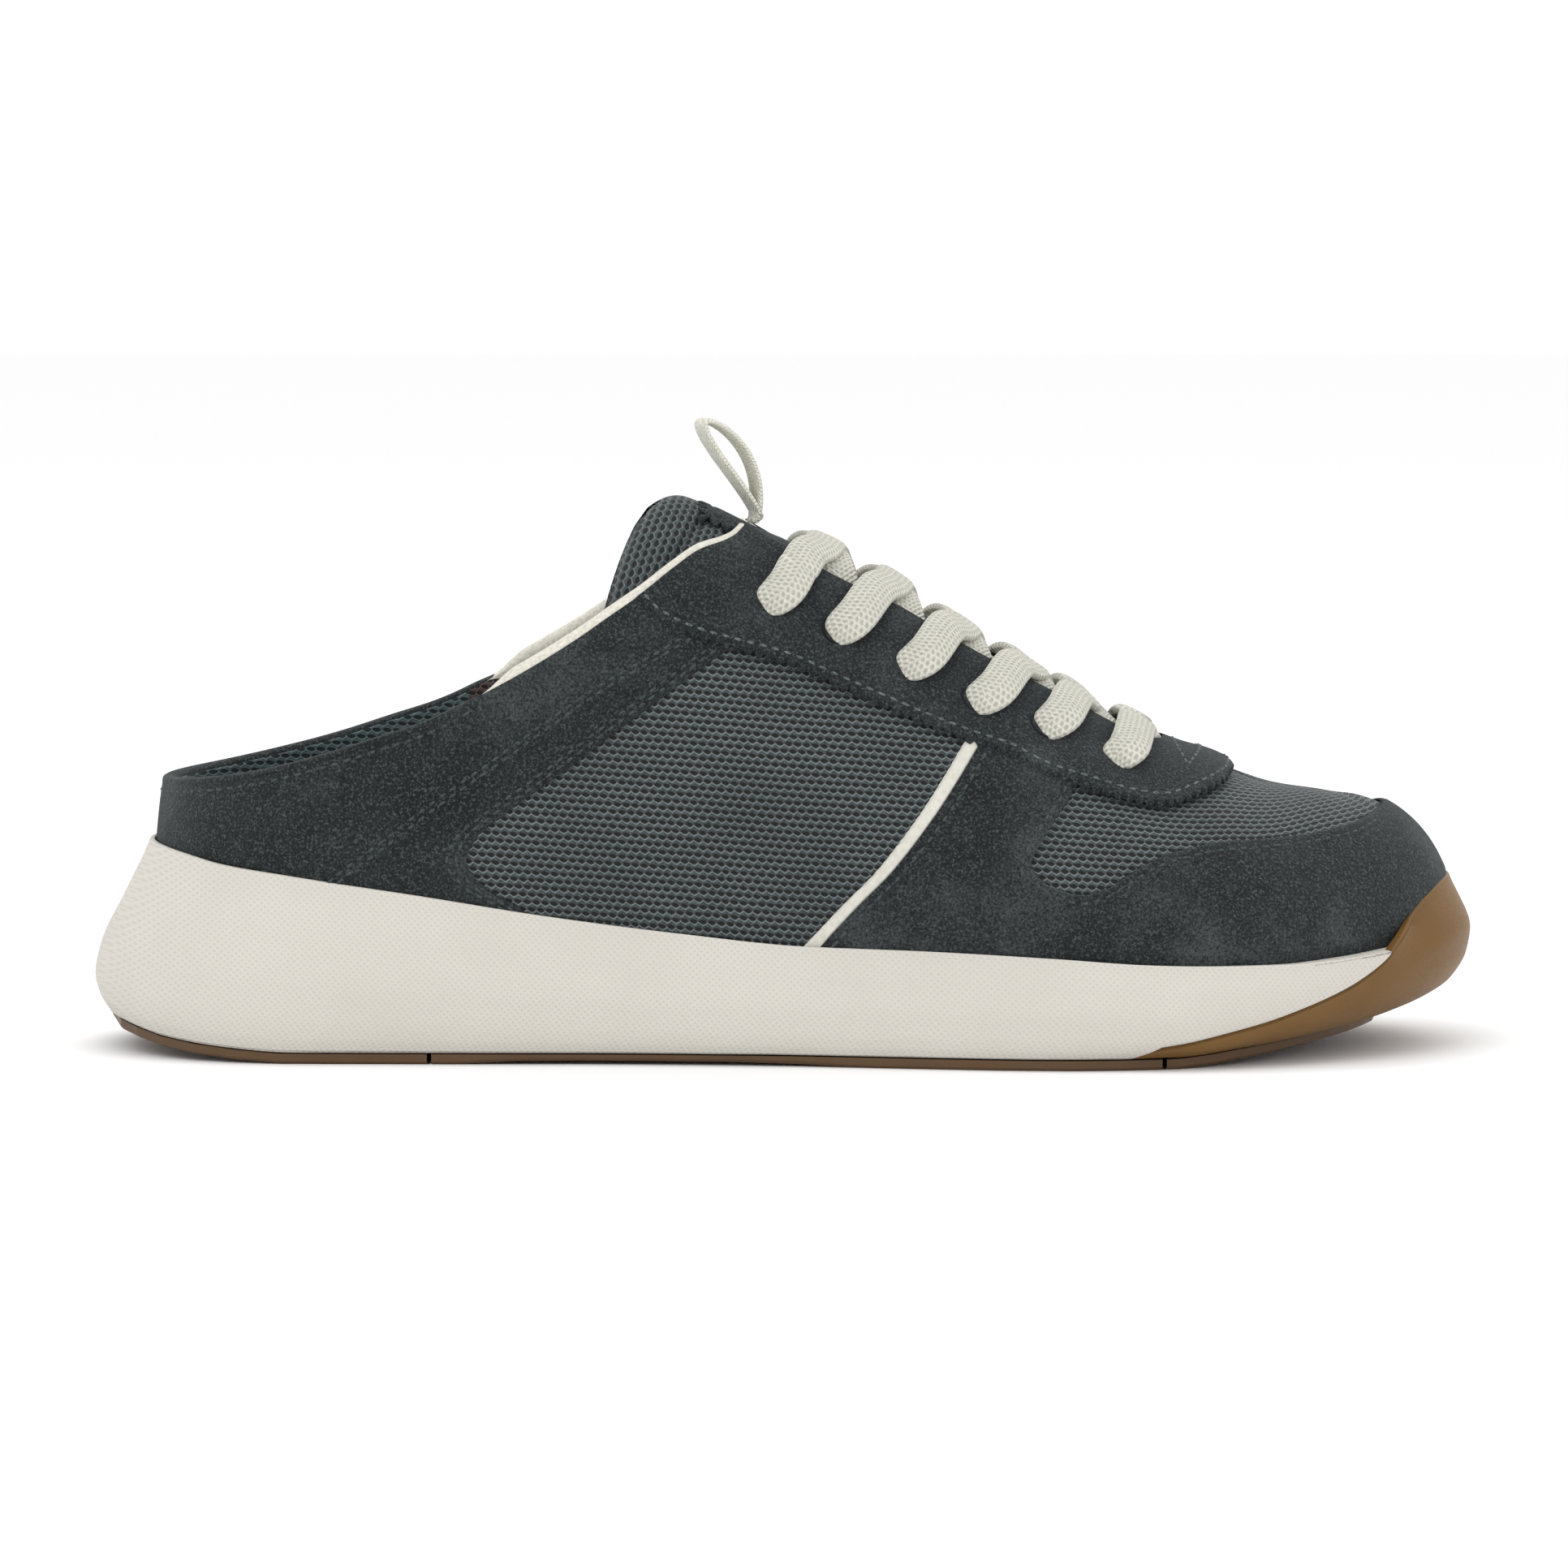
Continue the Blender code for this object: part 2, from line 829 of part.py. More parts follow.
def make_bumper(finish):
    """Rubber that wraps the toe: over the midsole's side, and up onto the upper."""
    half = [share for share in stations() if share >= BUMPER_START]
    stops = [(share, LATERAL) for share in half]
    stops += [(share, MEDIAL) for share in half[-2::-1]]
    loops = []
    for share, side in stops:
        heights, top = bumper_levels(share)
        heights += [lerp(heights[-1], top, i / 3) for i in range(1, 4)]
        outer = [wall(share, side, height) for height in heights]
        inner = [wall(share, side, height, BUMPER_WALL) for height in heights]
        if share > BUMPER_WRAP:
            crest = outer[-1].z - GAP
            inner[-1] = last_point(share, side, v_at_height(share, crest), GAP)
        loops.append(outer + inner[::-1])
    return loft("toe_bumper", loops, finish)


def make_upper(finish):
    """One hollow wall from the foot edge to the collar and the throat."""
    shares = upright(stations())
    strips = [strip(shares, side, lambda s, k: 0.0, opening, 8) for side in (LATERAL, MEDIAL)]
    return shell("upper", strips, 0.0, -UPPER_WALL, finish)


def panel_foot(share, side):
    return v_at_height(share, lower_line(share))


def below(edge, distance):
    """The same edge, a distance lower down the ribs."""

    def lowered(share, side):
        v = edge(share, side)
        point, near = rib(share, side, v), rib(share, side, max(v - 0.02, 0.0))
        step = (point - near).length or 1.0
        return v - 0.02 * distance / step

    return lowered


def columns(side, back, front, count, first=0):
    """Columns of a side panel between two seams, kept to the rim below and the top line above."""
    rows = len(back) - 1
    made = []
    for i in range(first, count + 1):
        w = i / count
        mixed = [(lerp(b[0], f[0], w), lerp(b[1], f[1], w)) for b, f in zip(back, front)]
        below_by = rim_line(mixed[0][0]) - mixed[0][1]
        above_by = side_top_line(mixed[-1][0]) - mixed[-1][1]
        column = []
        for j, (x, z) in enumerate(mixed):
            column.append(spot(x, z + lerp(below_by, above_by, j / rows), side))
        made.append(column)
    return made


def make_eyestay(finish):
    """Suede facing round the throat, one piece over both sides."""
    strips = []
    for side in (LATERAL, MEDIAL):
        grid = []
        count = 20
        for i in range(count + 1):
            along = lerp(i / count, (1 - math.cos(math.pi * i / count)) / 2, 0.6)
            x = x_at(lerp(EYESTAY_BACK, EYESTAY_FRONT, along))
            share, _, low = spot(x, eyestay_line(x), side)
            edge = opening(share, side)
            high = edge if edge == 1.0 else below(opening, SEAM)(share, side)
            low = min(low, high - 0.01)
            grid.append([(share, side, lerp(low, high, j / 6)) for j in range(7)])
        strips.append(grid)
    return shell("eyestay", strips, OVERLAY_GAP, OVERLAY, finish)


def make_counter(finish):
    """Suede heel counter, from one side round the back to the other."""
    rows = 7
    strips = []
    for side in (LATERAL, MEDIAL):
        heel = [share for share in stations() if share < COUNTER_START]
        grid = []
        for share in heel:
            low = panel_foot(share, side)
            high = below(opening, SEAM)(share, side)
            grid.append([(share, side, lerp(low, high, j / rows)) for j in range(rows + 1)])
        back = [(rib(*place).x, rib(*place).z) for place in grid[-1]]
        grid += columns(side, back, edge_points(edge_from(COUNTER_SEAM), rows), 9, 1)
        strips.append(grid)
    return shell("heel_counter", strips, OVERLAY_GAP, OVERLAY, finish)


def make_quarter(name, side, finish):
    """Suede band in front of the counter, slanting up under the eyestay."""
    rows = 10
    back = edge_points(edge_from(COUNTER_SEAM, SEAM * 1.5), rows)
    front = edge_points(edge_from(QUARTER_SEAM), rows)
    grid = columns(side, back, front, 3)
    return shell(name, [grid], OVERLAY_GAP, OVERLAY, finish)


def make_stripe(name, side, finish):
    """Narrow raised strip across the side, from the eyestay to the sole."""
    rows = 8
    back = edge_points(edge_from(STRIPE_SEAM), rows)
    front = edge_points(edge_from(STRIPE_SEAM, STRIPE_WIDTH * 1.3), rows)
    grid = columns(side, back, front, 1)
    return shell(name, [grid], OVERLAY_GAP, OVERLAY * 0.8, finish)


def toe_panel_line(x):
    return INSTEP_HEIGHT * read(TOE_PANEL_EDGE, 1, share_at(x))


def make_toe_panel(finish):
    """Suede panel from the stripe round the toe, open over the mesh of the vamp."""
    below_window, beside_window = 5, 3
    corner = INSTEP_HEIGHT * TOE_PANEL_EDGE[0][1]

    window = edge_from(WINDOW_EDGE)
    low, high = meets(window, rim_line), meets(window, side_top_line)
    levels = [lerp(low, corner, j / below_window) for j in range(below_window)]
    levels += [lerp(corner, high, j / beside_window) for j in range(beside_window + 1)]
    back = edge_points(edge_from(STRIPE_SEAM, STRIPE_WIDTH * 1.3 + SEAM * 2.2), len(levels) - 1)
    strips = []
    for side in (LATERAL, MEDIAL):
        rear = columns(side, back, [(window(z), z) for z in levels], 4)
        strips.append(rear)
        front = [rear[-1][: below_window + 1]]
        for share, _ in TOE_PANEL_EDGE[1:-4]:
            x = x_at(share)
            low_z, high_z = rim_line(x), toe_panel_line(x)
            steps = [j / below_window for j in range(below_window + 1)]
            front.append([spot(x, lerp(low_z, high_z, step), side) for step in steps])
        for share in stations():
            if share < TOE_PANEL_EDGE[-5][0] + 0.008:
                continue
            low, high = panel_foot(share, side), v_at_line(share, side, toe_panel_line)
            front.append(
                [(share, side, lerp(low, high, j / below_window)) for j in range(below_window + 1)]
            )
        strips.append(front)
    return shell("toe_panel", strips, OVERLAY_GAP, OVERLAY, finish)


def over_instep(x, y, offset):
    """A point of the last by X and by Y off the centre line, for what lies over the instep."""
    share = min(max(share_at(x), 0.0), 1.0)
    for _ in range(6):
        top = x_at(read(RIBS, 1, share))
        foot = plan(share, LATERAL, *UPPER_IN)[0]
        half = BALL_WIDTH / 2 * read(PLAN, 2, share) - UPPER_IN[1]
        out = min(abs(y) / half, 0.98)
        share = min(max(share + (x - lerp(top, foot, out)) / LENGTH, 0.05), 0.95)
    side = LATERAL if y < 0 else MEDIAL
    v = math.acos(out ** (read(RIBS, 2, share) / 2)) * 2 / math.pi
    return last_point(share, side, v, offset), last_normal(share, side, v)


def make_tongue(finish):
    """Padded tongue under the throat, its top edge slanting down to the two corners."""
    front_x = x_at(THROAT_END) + 0.006
    along, across = 10, 8
    outer = UPPER_WALL + TONGUE_CLEARANCE
    work = bmesh.new()
    rows = []
    for i in range(along + 1):
        row = []
        for j in range(across + 1):
            b = 2 * j / across - 1
            back_x = front_x - TONGUE_LENGTH * (0.905 + 0.095 * abs(b) ** 1.3 * 1.5)
            t = i / along
            half = TONGUE_HALF * lerp(0.50, 1.0, smooth_step(0, 0.9, t))
            point, _ = over_instep(lerp(front_x, back_x, t), b * half, -outer)
            row.append(work.verts.new(point))
        rows.append(row)
    for row, after in zip(rows, rows[1:]):
        for j in range(across):
            work.faces.new((row[j], row[j + 1], after[j + 1], after[j]))
    bmesh.ops.recalc_face_normals(work, faces=work.faces)
    top = min(work.faces, key=lambda f: abs(f.calc_center_median().y - centre(0.6)))
    top.normal_update()
    if top.normal.z < 0:
        bmesh.ops.reverse_faces(work, faces=work.faces)
    item = finish_mesh("tongue", mesh_from(work, "tongue"), finish)
    pad = item.modifiers.new("padding", "SOLIDIFY")
    pad.thickness = TONGUE_PAD
    pad.offset = -1
    return item


PATCH_SPAN = (0.455, 0.512)


def make_patch(finish):
    """Suede patch on the tongue, which the pull loop is sewn to."""
    front, back = PATCH_SPAN[1], PATCH_SPAN[0]
    half = THROAT_HALF * 0.60
    lift = GAP - UPPER_WALL - TONGUE_CLEARANCE + SEAM / 2
    work = bmesh.new()
    rows = []
    for i in range(5):
        row = []
        for j in range(5):
            x = x_at(lerp(back, front, i / 4))
            point, _ = over_instep(x, half * (j / 2 - 1), lift)
            row.append(work.verts.new(point))
        rows.append(row)
    for row, after in zip(rows, rows[1:]):
        for j in range(4):
            work.faces.new((row[j], after[j], after[j + 1], row[j + 1]))
    bmesh.ops.recalc_face_normals(work, faces=work.faces)
    work.faces.ensure_lookup_table()
    if work.faces[0].normal.z < 0:
        bmesh.ops.reverse_faces(work, faces=work.faces)
    item = finish_mesh("tongue_patch", mesh_from(work, "tongue_patch"), finish)
    thicken = item.modifiers.new("suede", "SOLIDIFY")
    thicken.thickness = PATCH
    thicken.offset = 1
    return item


def loop_outline(shrink, count=22):
    """Teardrop of the pull loop in the X-Z plane, from its seat up, round and back."""
    points = []
    for i in range(count):
        turn = 2 * math.pi * i / count
        reach = math.sin(turn) * math.sin(turn / 2) ** 1.4
        high = (1 - math.cos(turn)) / 2
        x = -LOOP_REACH * high ** 1.6 + LOOP_REACH * 0.5 * reach
        points.append(Vector((x, LOOP_HEIGHT * high, 0)))
    if not shrink:
        return points
    middle = sum(points, Vector()) / count
    inner = []
    for i, point in enumerate(points):
        before, after = points[i - 1], points[(i + 1) % count]
        along = (after - before).normalized()
        inward = Vector((-along.y, along.x, 0))
        if inward.dot(middle - point) < 0:
            inward.negate()
        inner.append(point + inward * shrink)
    floor = points[0].y + shrink * 3.2
    return [p for p in inner if p.y > floor]


def make_loop(finish):
    """Flat tape bent to a teardrop, standing on the patch."""
    seat_x = x_at(0.482)
    lift = GAP * 2 + PATCH - UPPER_WALL - TONGUE_CLEARANCE + SEAM
    seat, _ = over_instep(seat_x, 0.0, lift)
    curve = bpy.data.curves.new("pull_loop", "CURVE")
    curve.dimensions = "2D"
    curve.fill_mode = "BOTH"
    curve.extrude = LOOP_WIDTH / 2
    for outline in (loop_outline(0), loop_outline(LOOP_TAPE)):
        spline = curve.splines.new("POLY")
        spline.points.add(len(outline) - 1)
        for spot, point in zip(spline.points, outline):
            spot.co = (point.x, point.y, 0, 1)
        spline.use_cyclic_u = True
    item = bpy.data.objects.new("pull_loop", curve)
    bpy.data.collections["slip_on_shoe"].objects.link(item)
    item.rotation_euler = (math.pi / 2, 0, math.radians(LOOP_TURN))
    item.location = seat + Vector((0, 0, GAP))
    curve.materials.append(finish)
    return item


def tube(name, points, radius, finish):
    curve = bpy.data.curves.new(name, "CURVE")
    curve.dimensions = "3D"
    curve.bevel_depth = radius
    curve.bevel_resolution = 1
    curve.use_fill_caps = True
    spline = curve.splines.new("POLY")
    spline.points.add(len(points) - 1)
    for spot, point in zip(spline.points, points):
        spot.co = (*point, 1)
    item = bpy.data.objects.new(name, curve)
    bpy.data.collections["slip_on_shoe"].objects.link(item)
    curve.materials.append(finish)
    return item


def edge_point(share, side):
    """Middle of the wall at the opening's edge, raised clear of it for the binding."""
    v = opening(share, side)
    point = last_point(share, side, v, -UPPER_WALL / 2)
    along = (rib(share, side, v) - rib(share, side, v - 0.02)).normalized()
    return point + along * (BINDING_RADIUS + GAP)


def make_binding(finish):
    """Cord edging from the collar over the top of the throat and round its front."""
    shares = [share for share in stations() if BINDING_BACK < share < THROAT_END - 0.01]
    lateral = [edge_point(share, LATERAL) for share in shares]
    medial = [edge_point(share, MEDIAL) for share in shares]
    front = last_point(THROAT_END, LATERAL, 1.0, -UPPER_WALL / 2)
    front.x -= (BINDING_RADIUS + GAP) * 3.2
    front.z += BINDING_RADIUS
    return tube("collar_binding", [*lateral, front, *medial[::-1]], BINDING_RADIUS, finish)


def ribbon(path, finish):
    """Flat lace with rounded edges along a path of (point, up) pairs."""
    section = [(-0.5, 0.0), (-0.28, 0.5), (0.28, 0.5), (0.5, 0.0), (0.28, -0.5), (-0.28, -0.5)]
    rows = []
    for i, (point, up) in enumerate(path):
        before, after = path[max(i - 1, 0)][0], path[min(i + 1, len(path) - 1)][0]
        along = (after - before).normalized()
        across = along.cross(up).normalized()
        rise = across.cross(along).normalized()
        slim = 0.7 if i in (0, len(path) - 1) else 1.0
        rows.append(
            [
                point + across * a * LACE_WIDTH * slim + rise * b * LACE_THICKNESS * slim
                for a, b in section
            ]
        )
    work = bmesh.new()
    verts = [[work.verts.new(p) for p in row] for row in rows]
    for row, after in zip(verts, verts[1:]):
        for i in range(len(section)):
            j = (i + 1) % len(section)
            work.faces.new((row[i], row[j], after[j], after[i]))
    work.faces.new(verts[0])
    work.faces.new(verts[-1])
    bmesh.ops.recalc_face_normals(work, faces=work.faces)
    return work


def eyelet_share(row):
    return lerp(EYELET_FIRST, EYELET_LAST, row / (EYELET_ROWS - 1))


def eyelet_half(row):
    """Distance of an eyelet from the centre line, at its height on the instep."""
    x = x_at(eyelet_share(row))
    height = INSTEP_HEIGHT * read(EYELET_LINE, 1, eyelet_share(row))
    low, high = 0.0, BALL_WIDTH / 2
    for _ in range(24):
        middle = (low + high) / 2
        point, _ = over_instep(x, -middle, 0.0)
        if point.z > height:
            low = middle
        else:
            high = middle
    return low


def lace_path(row, side, across_to, forward, back=0.0):
    """From an eyelet up over the throat's edge to a Y beyond the centre, moving forward as it goes."""
    share = eyelet_share(row)
    half = eyelet_half(row)
    lift = OVERLAY_GAP + OVERLAY + GAP * 2 + LACE_THICKNESS / 2
    edge = throat_half(x_at(share)) - LACE_DIP_INSET
    path = []
    count = 10
    for i in range(count + 1):
        t = i / count
        y = lerp(side * half, -side * across_to, t)
        x = x_at(share) + forward * (1 - (1 - t) ** 2) - back * (1 - (2 * t - 1) ** 2)
        raised = lift + (LACE_OVER if side == LATERAL else 0.0) * smooth_step(0.6, 0.2, abs(y) / half)
        dip = LACE_DIP * max(0.0, 1 - (y / edge) ** 2) ** 2
        path.append(over_instep(x, y, raised - dip))
    return path


def make_lace_cross(row, finish):
    """Two runs of lace that cross over the tongue, joined where they cross."""
    pitch = (EYELET_LAST - EYELET_FIRST) / (EYELET_ROWS - 1) * LENGTH
    reach = throat_half(x_at(eyelet_share(row))) * 0.55
    forward = pitch * (LACE_RUN_FRONT if row == EYELET_ROWS - 2 else LACE_RUN)
    runs = []
    for side in (LATERAL, MEDIAL):
        work = ribbon(lace_path(row, side, reach, forward), finish)
        name = f"lace_cross_{row + 1}" if side == LATERAL else f"lace_cutter_{row + 1}"
        runs.append(finish_mesh(name, mesh_from(work, name), finish))
    join = runs[0].modifiers.new("join", "BOOLEAN")
    join.operation = "UNION"
    join.solver = "EXACT"
    join.object = runs[1]
    bpy.context.view_layer.update()
    evaluated = runs[0].evaluated_get(bpy.context.evaluated_depsgraph_get())
    joined = bpy.data.meshes.new_from_object(evaluated)
    runs[0].modifiers.clear()
    runs[0].data = joined
    bpy.data.objects.remove(runs[1])
    return runs[0]


def make_lace_bar(finish):
    """Straight run between the two front eyelets."""
    row = EYELET_ROWS - 1
    reach = eyelet_half(row)
    work = ribbon(lace_path(row, LATERAL, reach, 0.0, -LACE_BOW), finish)
    return finish_mesh("lace_bar", mesh_from(work, "lace_bar"), finish)


def main():
    clear_scene()
    shoe = bpy.data.collections.new("slip_on_shoe")
    bpy.context.scene.collection.children.link(shoe)
    foam = material("foam", (0.80, 0.78, 0.72), 0.75)
    gum = material("gum_rubber", (0.42, 0.24, 0.09), 0.55)
    suede = material("suede", (0.035, 0.050, 0.055), 0.95)
    mesh = material("mesh_fabric", (0.05, 0.075, 0.08), 0.85)
    cream = material("cream_textile", (0.80, 0.78, 0.70), 0.9)
    lining = material("footbed_fabric", (0.06, 0.075, 0.08), 0.9)

    make_midsole(foam)
    groove = GROOVE / LENGTH / 2
    make_slab("outsole_heel", HEEL, HEEL_SLAB_END - groove, gum)
    make_slab("outsole_waist", HEEL_SLAB_END + groove, FOREFOOT_SLAB_START - groove, gum)
    make_slab("outsole_forefoot", FOREFOOT_SLAB_START + groove, TOE, gum)
    make_bumper(gum)
    make_insole(lining)
    make_upper(mesh)
    make_tongue(mesh)
    make_patch(suede)
    make_loop(cream)
    make_eyestay(suede)
    make_counter(suede)
    make_toe_panel(suede)
    for label, side in (("lateral", LATERAL), ("medial", MEDIAL)):
        make_quarter(f"quarter_band_{label}", side, suede)
        make_stripe(f"side_stripe_{label}", side, cream)
    make_binding(cream)
    for row in range(EYELET_ROWS - 1):
        make_lace_cross(row, cream)
    make_lace_bar(cream)


main()
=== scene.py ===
"""Looks of the backless slip-on shoe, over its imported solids.

The same two surfaces as in the part carry everything: the side wall of the sole, and the last that the
upper is pulled over. Each piece asks them for points by a share of the length, a side and a height.
"""

import math

import bmesh
import bpy
import numpy as np
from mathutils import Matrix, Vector, kdtree


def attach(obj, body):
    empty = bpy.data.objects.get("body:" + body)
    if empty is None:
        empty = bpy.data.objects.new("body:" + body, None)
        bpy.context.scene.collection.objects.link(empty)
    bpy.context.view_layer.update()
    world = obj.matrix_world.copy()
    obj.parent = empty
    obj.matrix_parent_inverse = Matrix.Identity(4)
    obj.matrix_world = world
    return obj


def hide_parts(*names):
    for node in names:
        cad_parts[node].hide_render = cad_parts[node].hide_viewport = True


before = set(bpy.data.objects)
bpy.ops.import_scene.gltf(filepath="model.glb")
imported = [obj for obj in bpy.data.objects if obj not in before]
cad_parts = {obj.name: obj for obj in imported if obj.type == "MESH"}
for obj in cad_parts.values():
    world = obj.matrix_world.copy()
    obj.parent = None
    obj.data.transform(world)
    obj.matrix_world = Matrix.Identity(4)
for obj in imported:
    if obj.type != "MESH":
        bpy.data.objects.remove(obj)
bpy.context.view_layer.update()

# Driving sizes
LENGTH = 0.285
BALL_WIDTH = 0.104
HEEL_STACK = 0.043
INSTEP_HEIGHT = 0.107
HEEL_FLARE = 0.0115
SIDE_FLARE = 0.0035
TOE_TUCK = 0.019
SLAB = 0.0024
HEEL_LIFT = 0.0052
TOE_LIFT = 0.0048
ARCH_LIFT = 0.0008
LIP = 0.001
BUMPER_WALL = 0.0024
UPPER_WALL = 0.002
GAP = 0.0003
INSOLE = 0.004
INSOLE_FIT = 0.0007
TONGUE_PAD = 0.0055
TONGUE_CLEARANCE = 0.0013
TONGUE_LENGTH = 0.118
TONGUE_HALF = 0.0285
PATCH = 0.001
SEAM = 0.0005
COLLAR_HEIGHT = 0.105
THROAT_HALF = 0.0155
LACE_WIDTH = 0.0085
LACE_THICKNESS = 0.0024
LACE_OVER = 0.0009
LACE_DIP = 0.0034
EYELET_ROWS = 6
LOOP_HEIGHT = 0.0215
LOOP_REACH = 0.011
LOOP_WIDTH = 0.008
LOOP_TAPE = 0.0013
LOOP_TURN = 17

LATERAL, MEDIAL = -1, 1
HEEL_ROUND, HEEL_POWER = 0.17, 2.3
TOE_ROUND, TOE_POWER = 0.32, 2.2

# share of length, centre and half width as shares of half the ball width
PLAN = (
    (0.00, 0.000, 0.760), (0.12, -0.020, 0.780), (0.20, -0.025, 0.780), (0.30, -0.048, 0.768),
    (0.40, -0.082, 0.742), (0.50, -0.100, 0.760), (0.60, -0.096, 0.838), (0.68, -0.080, 0.925),
    (0.76, -0.054, 1.000), (0.84, -0.015, 1.045), (0.92, 0.055, 1.060), (1.00, 0.105, 1.060),
)

# share of length, top rim of the midsole as a share of the heel stack
RIM = (
    (0.00, 1.000), (0.03, 0.965), (0.06, 0.926), (0.11, 0.885), (0.16, 0.839), (0.21, 0.792),
    (0.30, 0.702), (0.40, 0.620), (0.50, 0.560), (0.59, 0.545), (0.68, 0.521), (0.75, 0.495),
    (0.80, 0.487), (0.85, 0.486), (0.90, 0.504), (0.94, 0.530), (1.00, 0.570),
)

# share of length, floor of the recess in the midsole as a share of the heel stack
FLOOR = (
    (0.00, 0.600), (0.20, 0.560), (0.40, 0.480), (0.50, 0.435), (0.60, 0.405), (0.80, 0.370),
    (0.86, 0.392), (0.92, 0.442), (1.00, 0.480),
)

# share of length, heel lift, arch lift and toe lift of the tread, each as a share of its size
TREAD_LINE = (
    (0.00, 1.00, 0.0, 0.00), (0.02, 0.78, 0.0, 0.00), (0.05, 0.44, 0.0, 0.00), (0.10, 0.15, 0.0, 0.00),
    (0.15, 0.00, 0.0, 0.00), (0.27, 0.00, 0.0, 0.00), (0.34, 0.00, 1.0, 0.00), (0.50, 0.00, 1.0, 0.00),
    (0.60, 0.00, 0.0, 0.00), (0.83, 0.00, 0.0, 0.00), (0.88, 0.00, 0.0, 0.26), (0.92, 0.00, 0.0, 0.50),
    (0.96, 0.00, 0.0, 0.75), (1.00, 0.00, 0.0, 1.00),
)

# share of wall height, then how far the wall stands in at heel, side and toe, as shares
# of the flares and of the toe's tuck
WALL = (
    (0.00, 0.26, 0.70, 1.00), (0.10, 0.08, 0.23, 0.66), (0.21, 0.00, 0.03, 0.43),
    (0.38, 0.10, 0.00, 0.21), (0.70, 0.57, 0.43, 0.04), (1.00, 1.00, 1.00, 0.00),
    (1.30, 1.25, 1.00, 0.03), (1.52, 1.50, 1.20, 0.12), (1.62, 1.60, 1.50, 0.20),
)

# share of length, height of the bumper's top edge as a share of the wall height
BUMPER_EDGE = (
    (0.795, 0.10), (0.810, 0.15), (0.835, 0.28), (0.862, 0.40), (0.885, 0.53), (0.905, 0.68),
    (0.925, 0.90), (0.935, 1.08), (0.955, 1.27), (0.975, 1.45), (1.000, 1.58),
)
BUMPER_START = BUMPER_EDGE[0][0]
BUMPER_FULL = 0.930

# share of length along the foot edge, share of length where the rib meets the ridge, roundness of the rib
RIBS = (
    (0.00, 0.200, 1.75), (0.15, 0.240, 1.85), (0.30, 0.320, 2.00), (0.40, 0.400, 2.05),
    (0.50, 0.500, 1.96), (0.60, 0.600, 1.86), (0.70, 0.700, 1.82), (0.80, 0.790, 1.92),
    (0.90, 0.855, 2.05), (1.00, 0.900, 2.10),
)

# share of length, height of the ridge of the last as a share of the instep height
RIDGE = (
    (0.200, 1.220), (0.350, 1.150), (0.420, 1.095), (0.450, 1.062), (0.500, 1.000), (0.535, 0.972),
    (0.570, 0.936), (0.605, 0.884), (0.640, 0.825), (0.675, 0.765), (0.710, 0.704), (0.745, 0.642),
    (0.775, 0.597), (0.800, 0.563), (0.825, 0.530), (0.850, 0.507), (0.875, 0.494), (0.900, 0.483),
)

# share of length, height of the collar's edge as a share of the collar height
COLLAR = (
    (0.040, 0.520), (0.085, 0.534), (0.110, 0.545), (0.143, 0.565), (0.176, 0.590), (0.208, 0.618),
    (0.240, 0.646), (0.262, 0.672), (0.284, 0.705), (0.307, 0.738), (0.330, 0.774), (0.353, 0.813),
    (0.375, 0.854), (0.399, 0.898), (0.422, 0.946), (0.439, 0.977), (0.462, 0.999), (0.480, 1.060),
    (0.520, 1.300),
)

# share of length, half width of the throat as a share of its widest
THROAT = (
    (0.430, 0.66), (0.500, 0.76), (0.550, 0.86), (0.600, 0.85), (0.700, 0.72), (0.740, 0.62),
    (0.758, 0.50), (0.770, 0.30), (0.776, 0.00),
)
THROAT_END = THROAT[-1][0]

# share of length, height of the eyelets as a share of the instep height
EYELET_LINE = (
    (0.491, 0.864), (0.540, 0.808), (0.589, 0.740), (0.639, 0.672), (0.688, 0.621), (0.737, 0.560),
)

# share of length, lower edge of the eyestay and top edge of the toe panel, as shares of the instep height
EYESTAY_EDGE = (
    (0.394, 0.880), (0.411, 0.833), (0.437, 0.799), (0.463, 0.779), (0.502, 0.750), (0.540, 0.705),
    (0.591, 0.646), (0.632, 0.601), (0.661, 0.574), (0.686, 0.541), (0.712, 0.514), (0.746, 0.486),
    (0.771, 0.478), (0.789, 0.488), (0.814, 0.511), (0.822, 0.528),
)
EYESTAY_BACK, EYESTAY_FRONT = 0.394, 0.822
TOE_PANEL_EDGE = (
    (0.6745, 0.375), (0.681, 0.355), (0.693, 0.336), (0.711, 0.326), (0.728, 0.338), (0.744, 0.363),
    (0.766, 0.392), (0.786, 0.406), (0.807, 0.416), (0.867, 0.424), (0.904, 0.434), (0.925, 0.452),
    (0.940, 0.468),
)

# height as a share of the instep height, share of length of the rear edge of the vamp's mesh window
WINDOW_EDGE = (
    (0.200, 0.6760), (0.375, 0.6745), (0.460, 0.6910), (0.520, 0.7050),
)

# height as a share of the instep height, share of length of a seam of the side
COUNTER_SEAM = (
    (0.300, 0.178), (0.342, 0.192), (0.424, 0.232), (0.493, 0.266), (0.569, 0.307), (0.645, 0.347),
    (0.706, 0.381), (0.789, 0.436), (0.850, 0.470),
)
QUARTER_SEAM = (
    (0.250, 0.330), (0.297, 0.312), (0.332, 0.289), (0.382, 0.275), (0.424, 0.281), (0.470, 0.301),
    (0.528, 0.332), (0.645, 0.391), (0.706, 0.422), (0.763, 0.451), (0.800, 0.468),
)
STRIPE_SEAM = (
    (0.200, 0.505), (0.225, 0.514), (0.304, 0.542), (0.366, 0.565), (0.465, 0.594), (0.533, 0.611),
    (0.593, 0.625), (0.650, 0.638),
)

STRIPE_WIDTH = 0.0031
COUNTER_START = 0.10
BINDING_BACK = 0.262

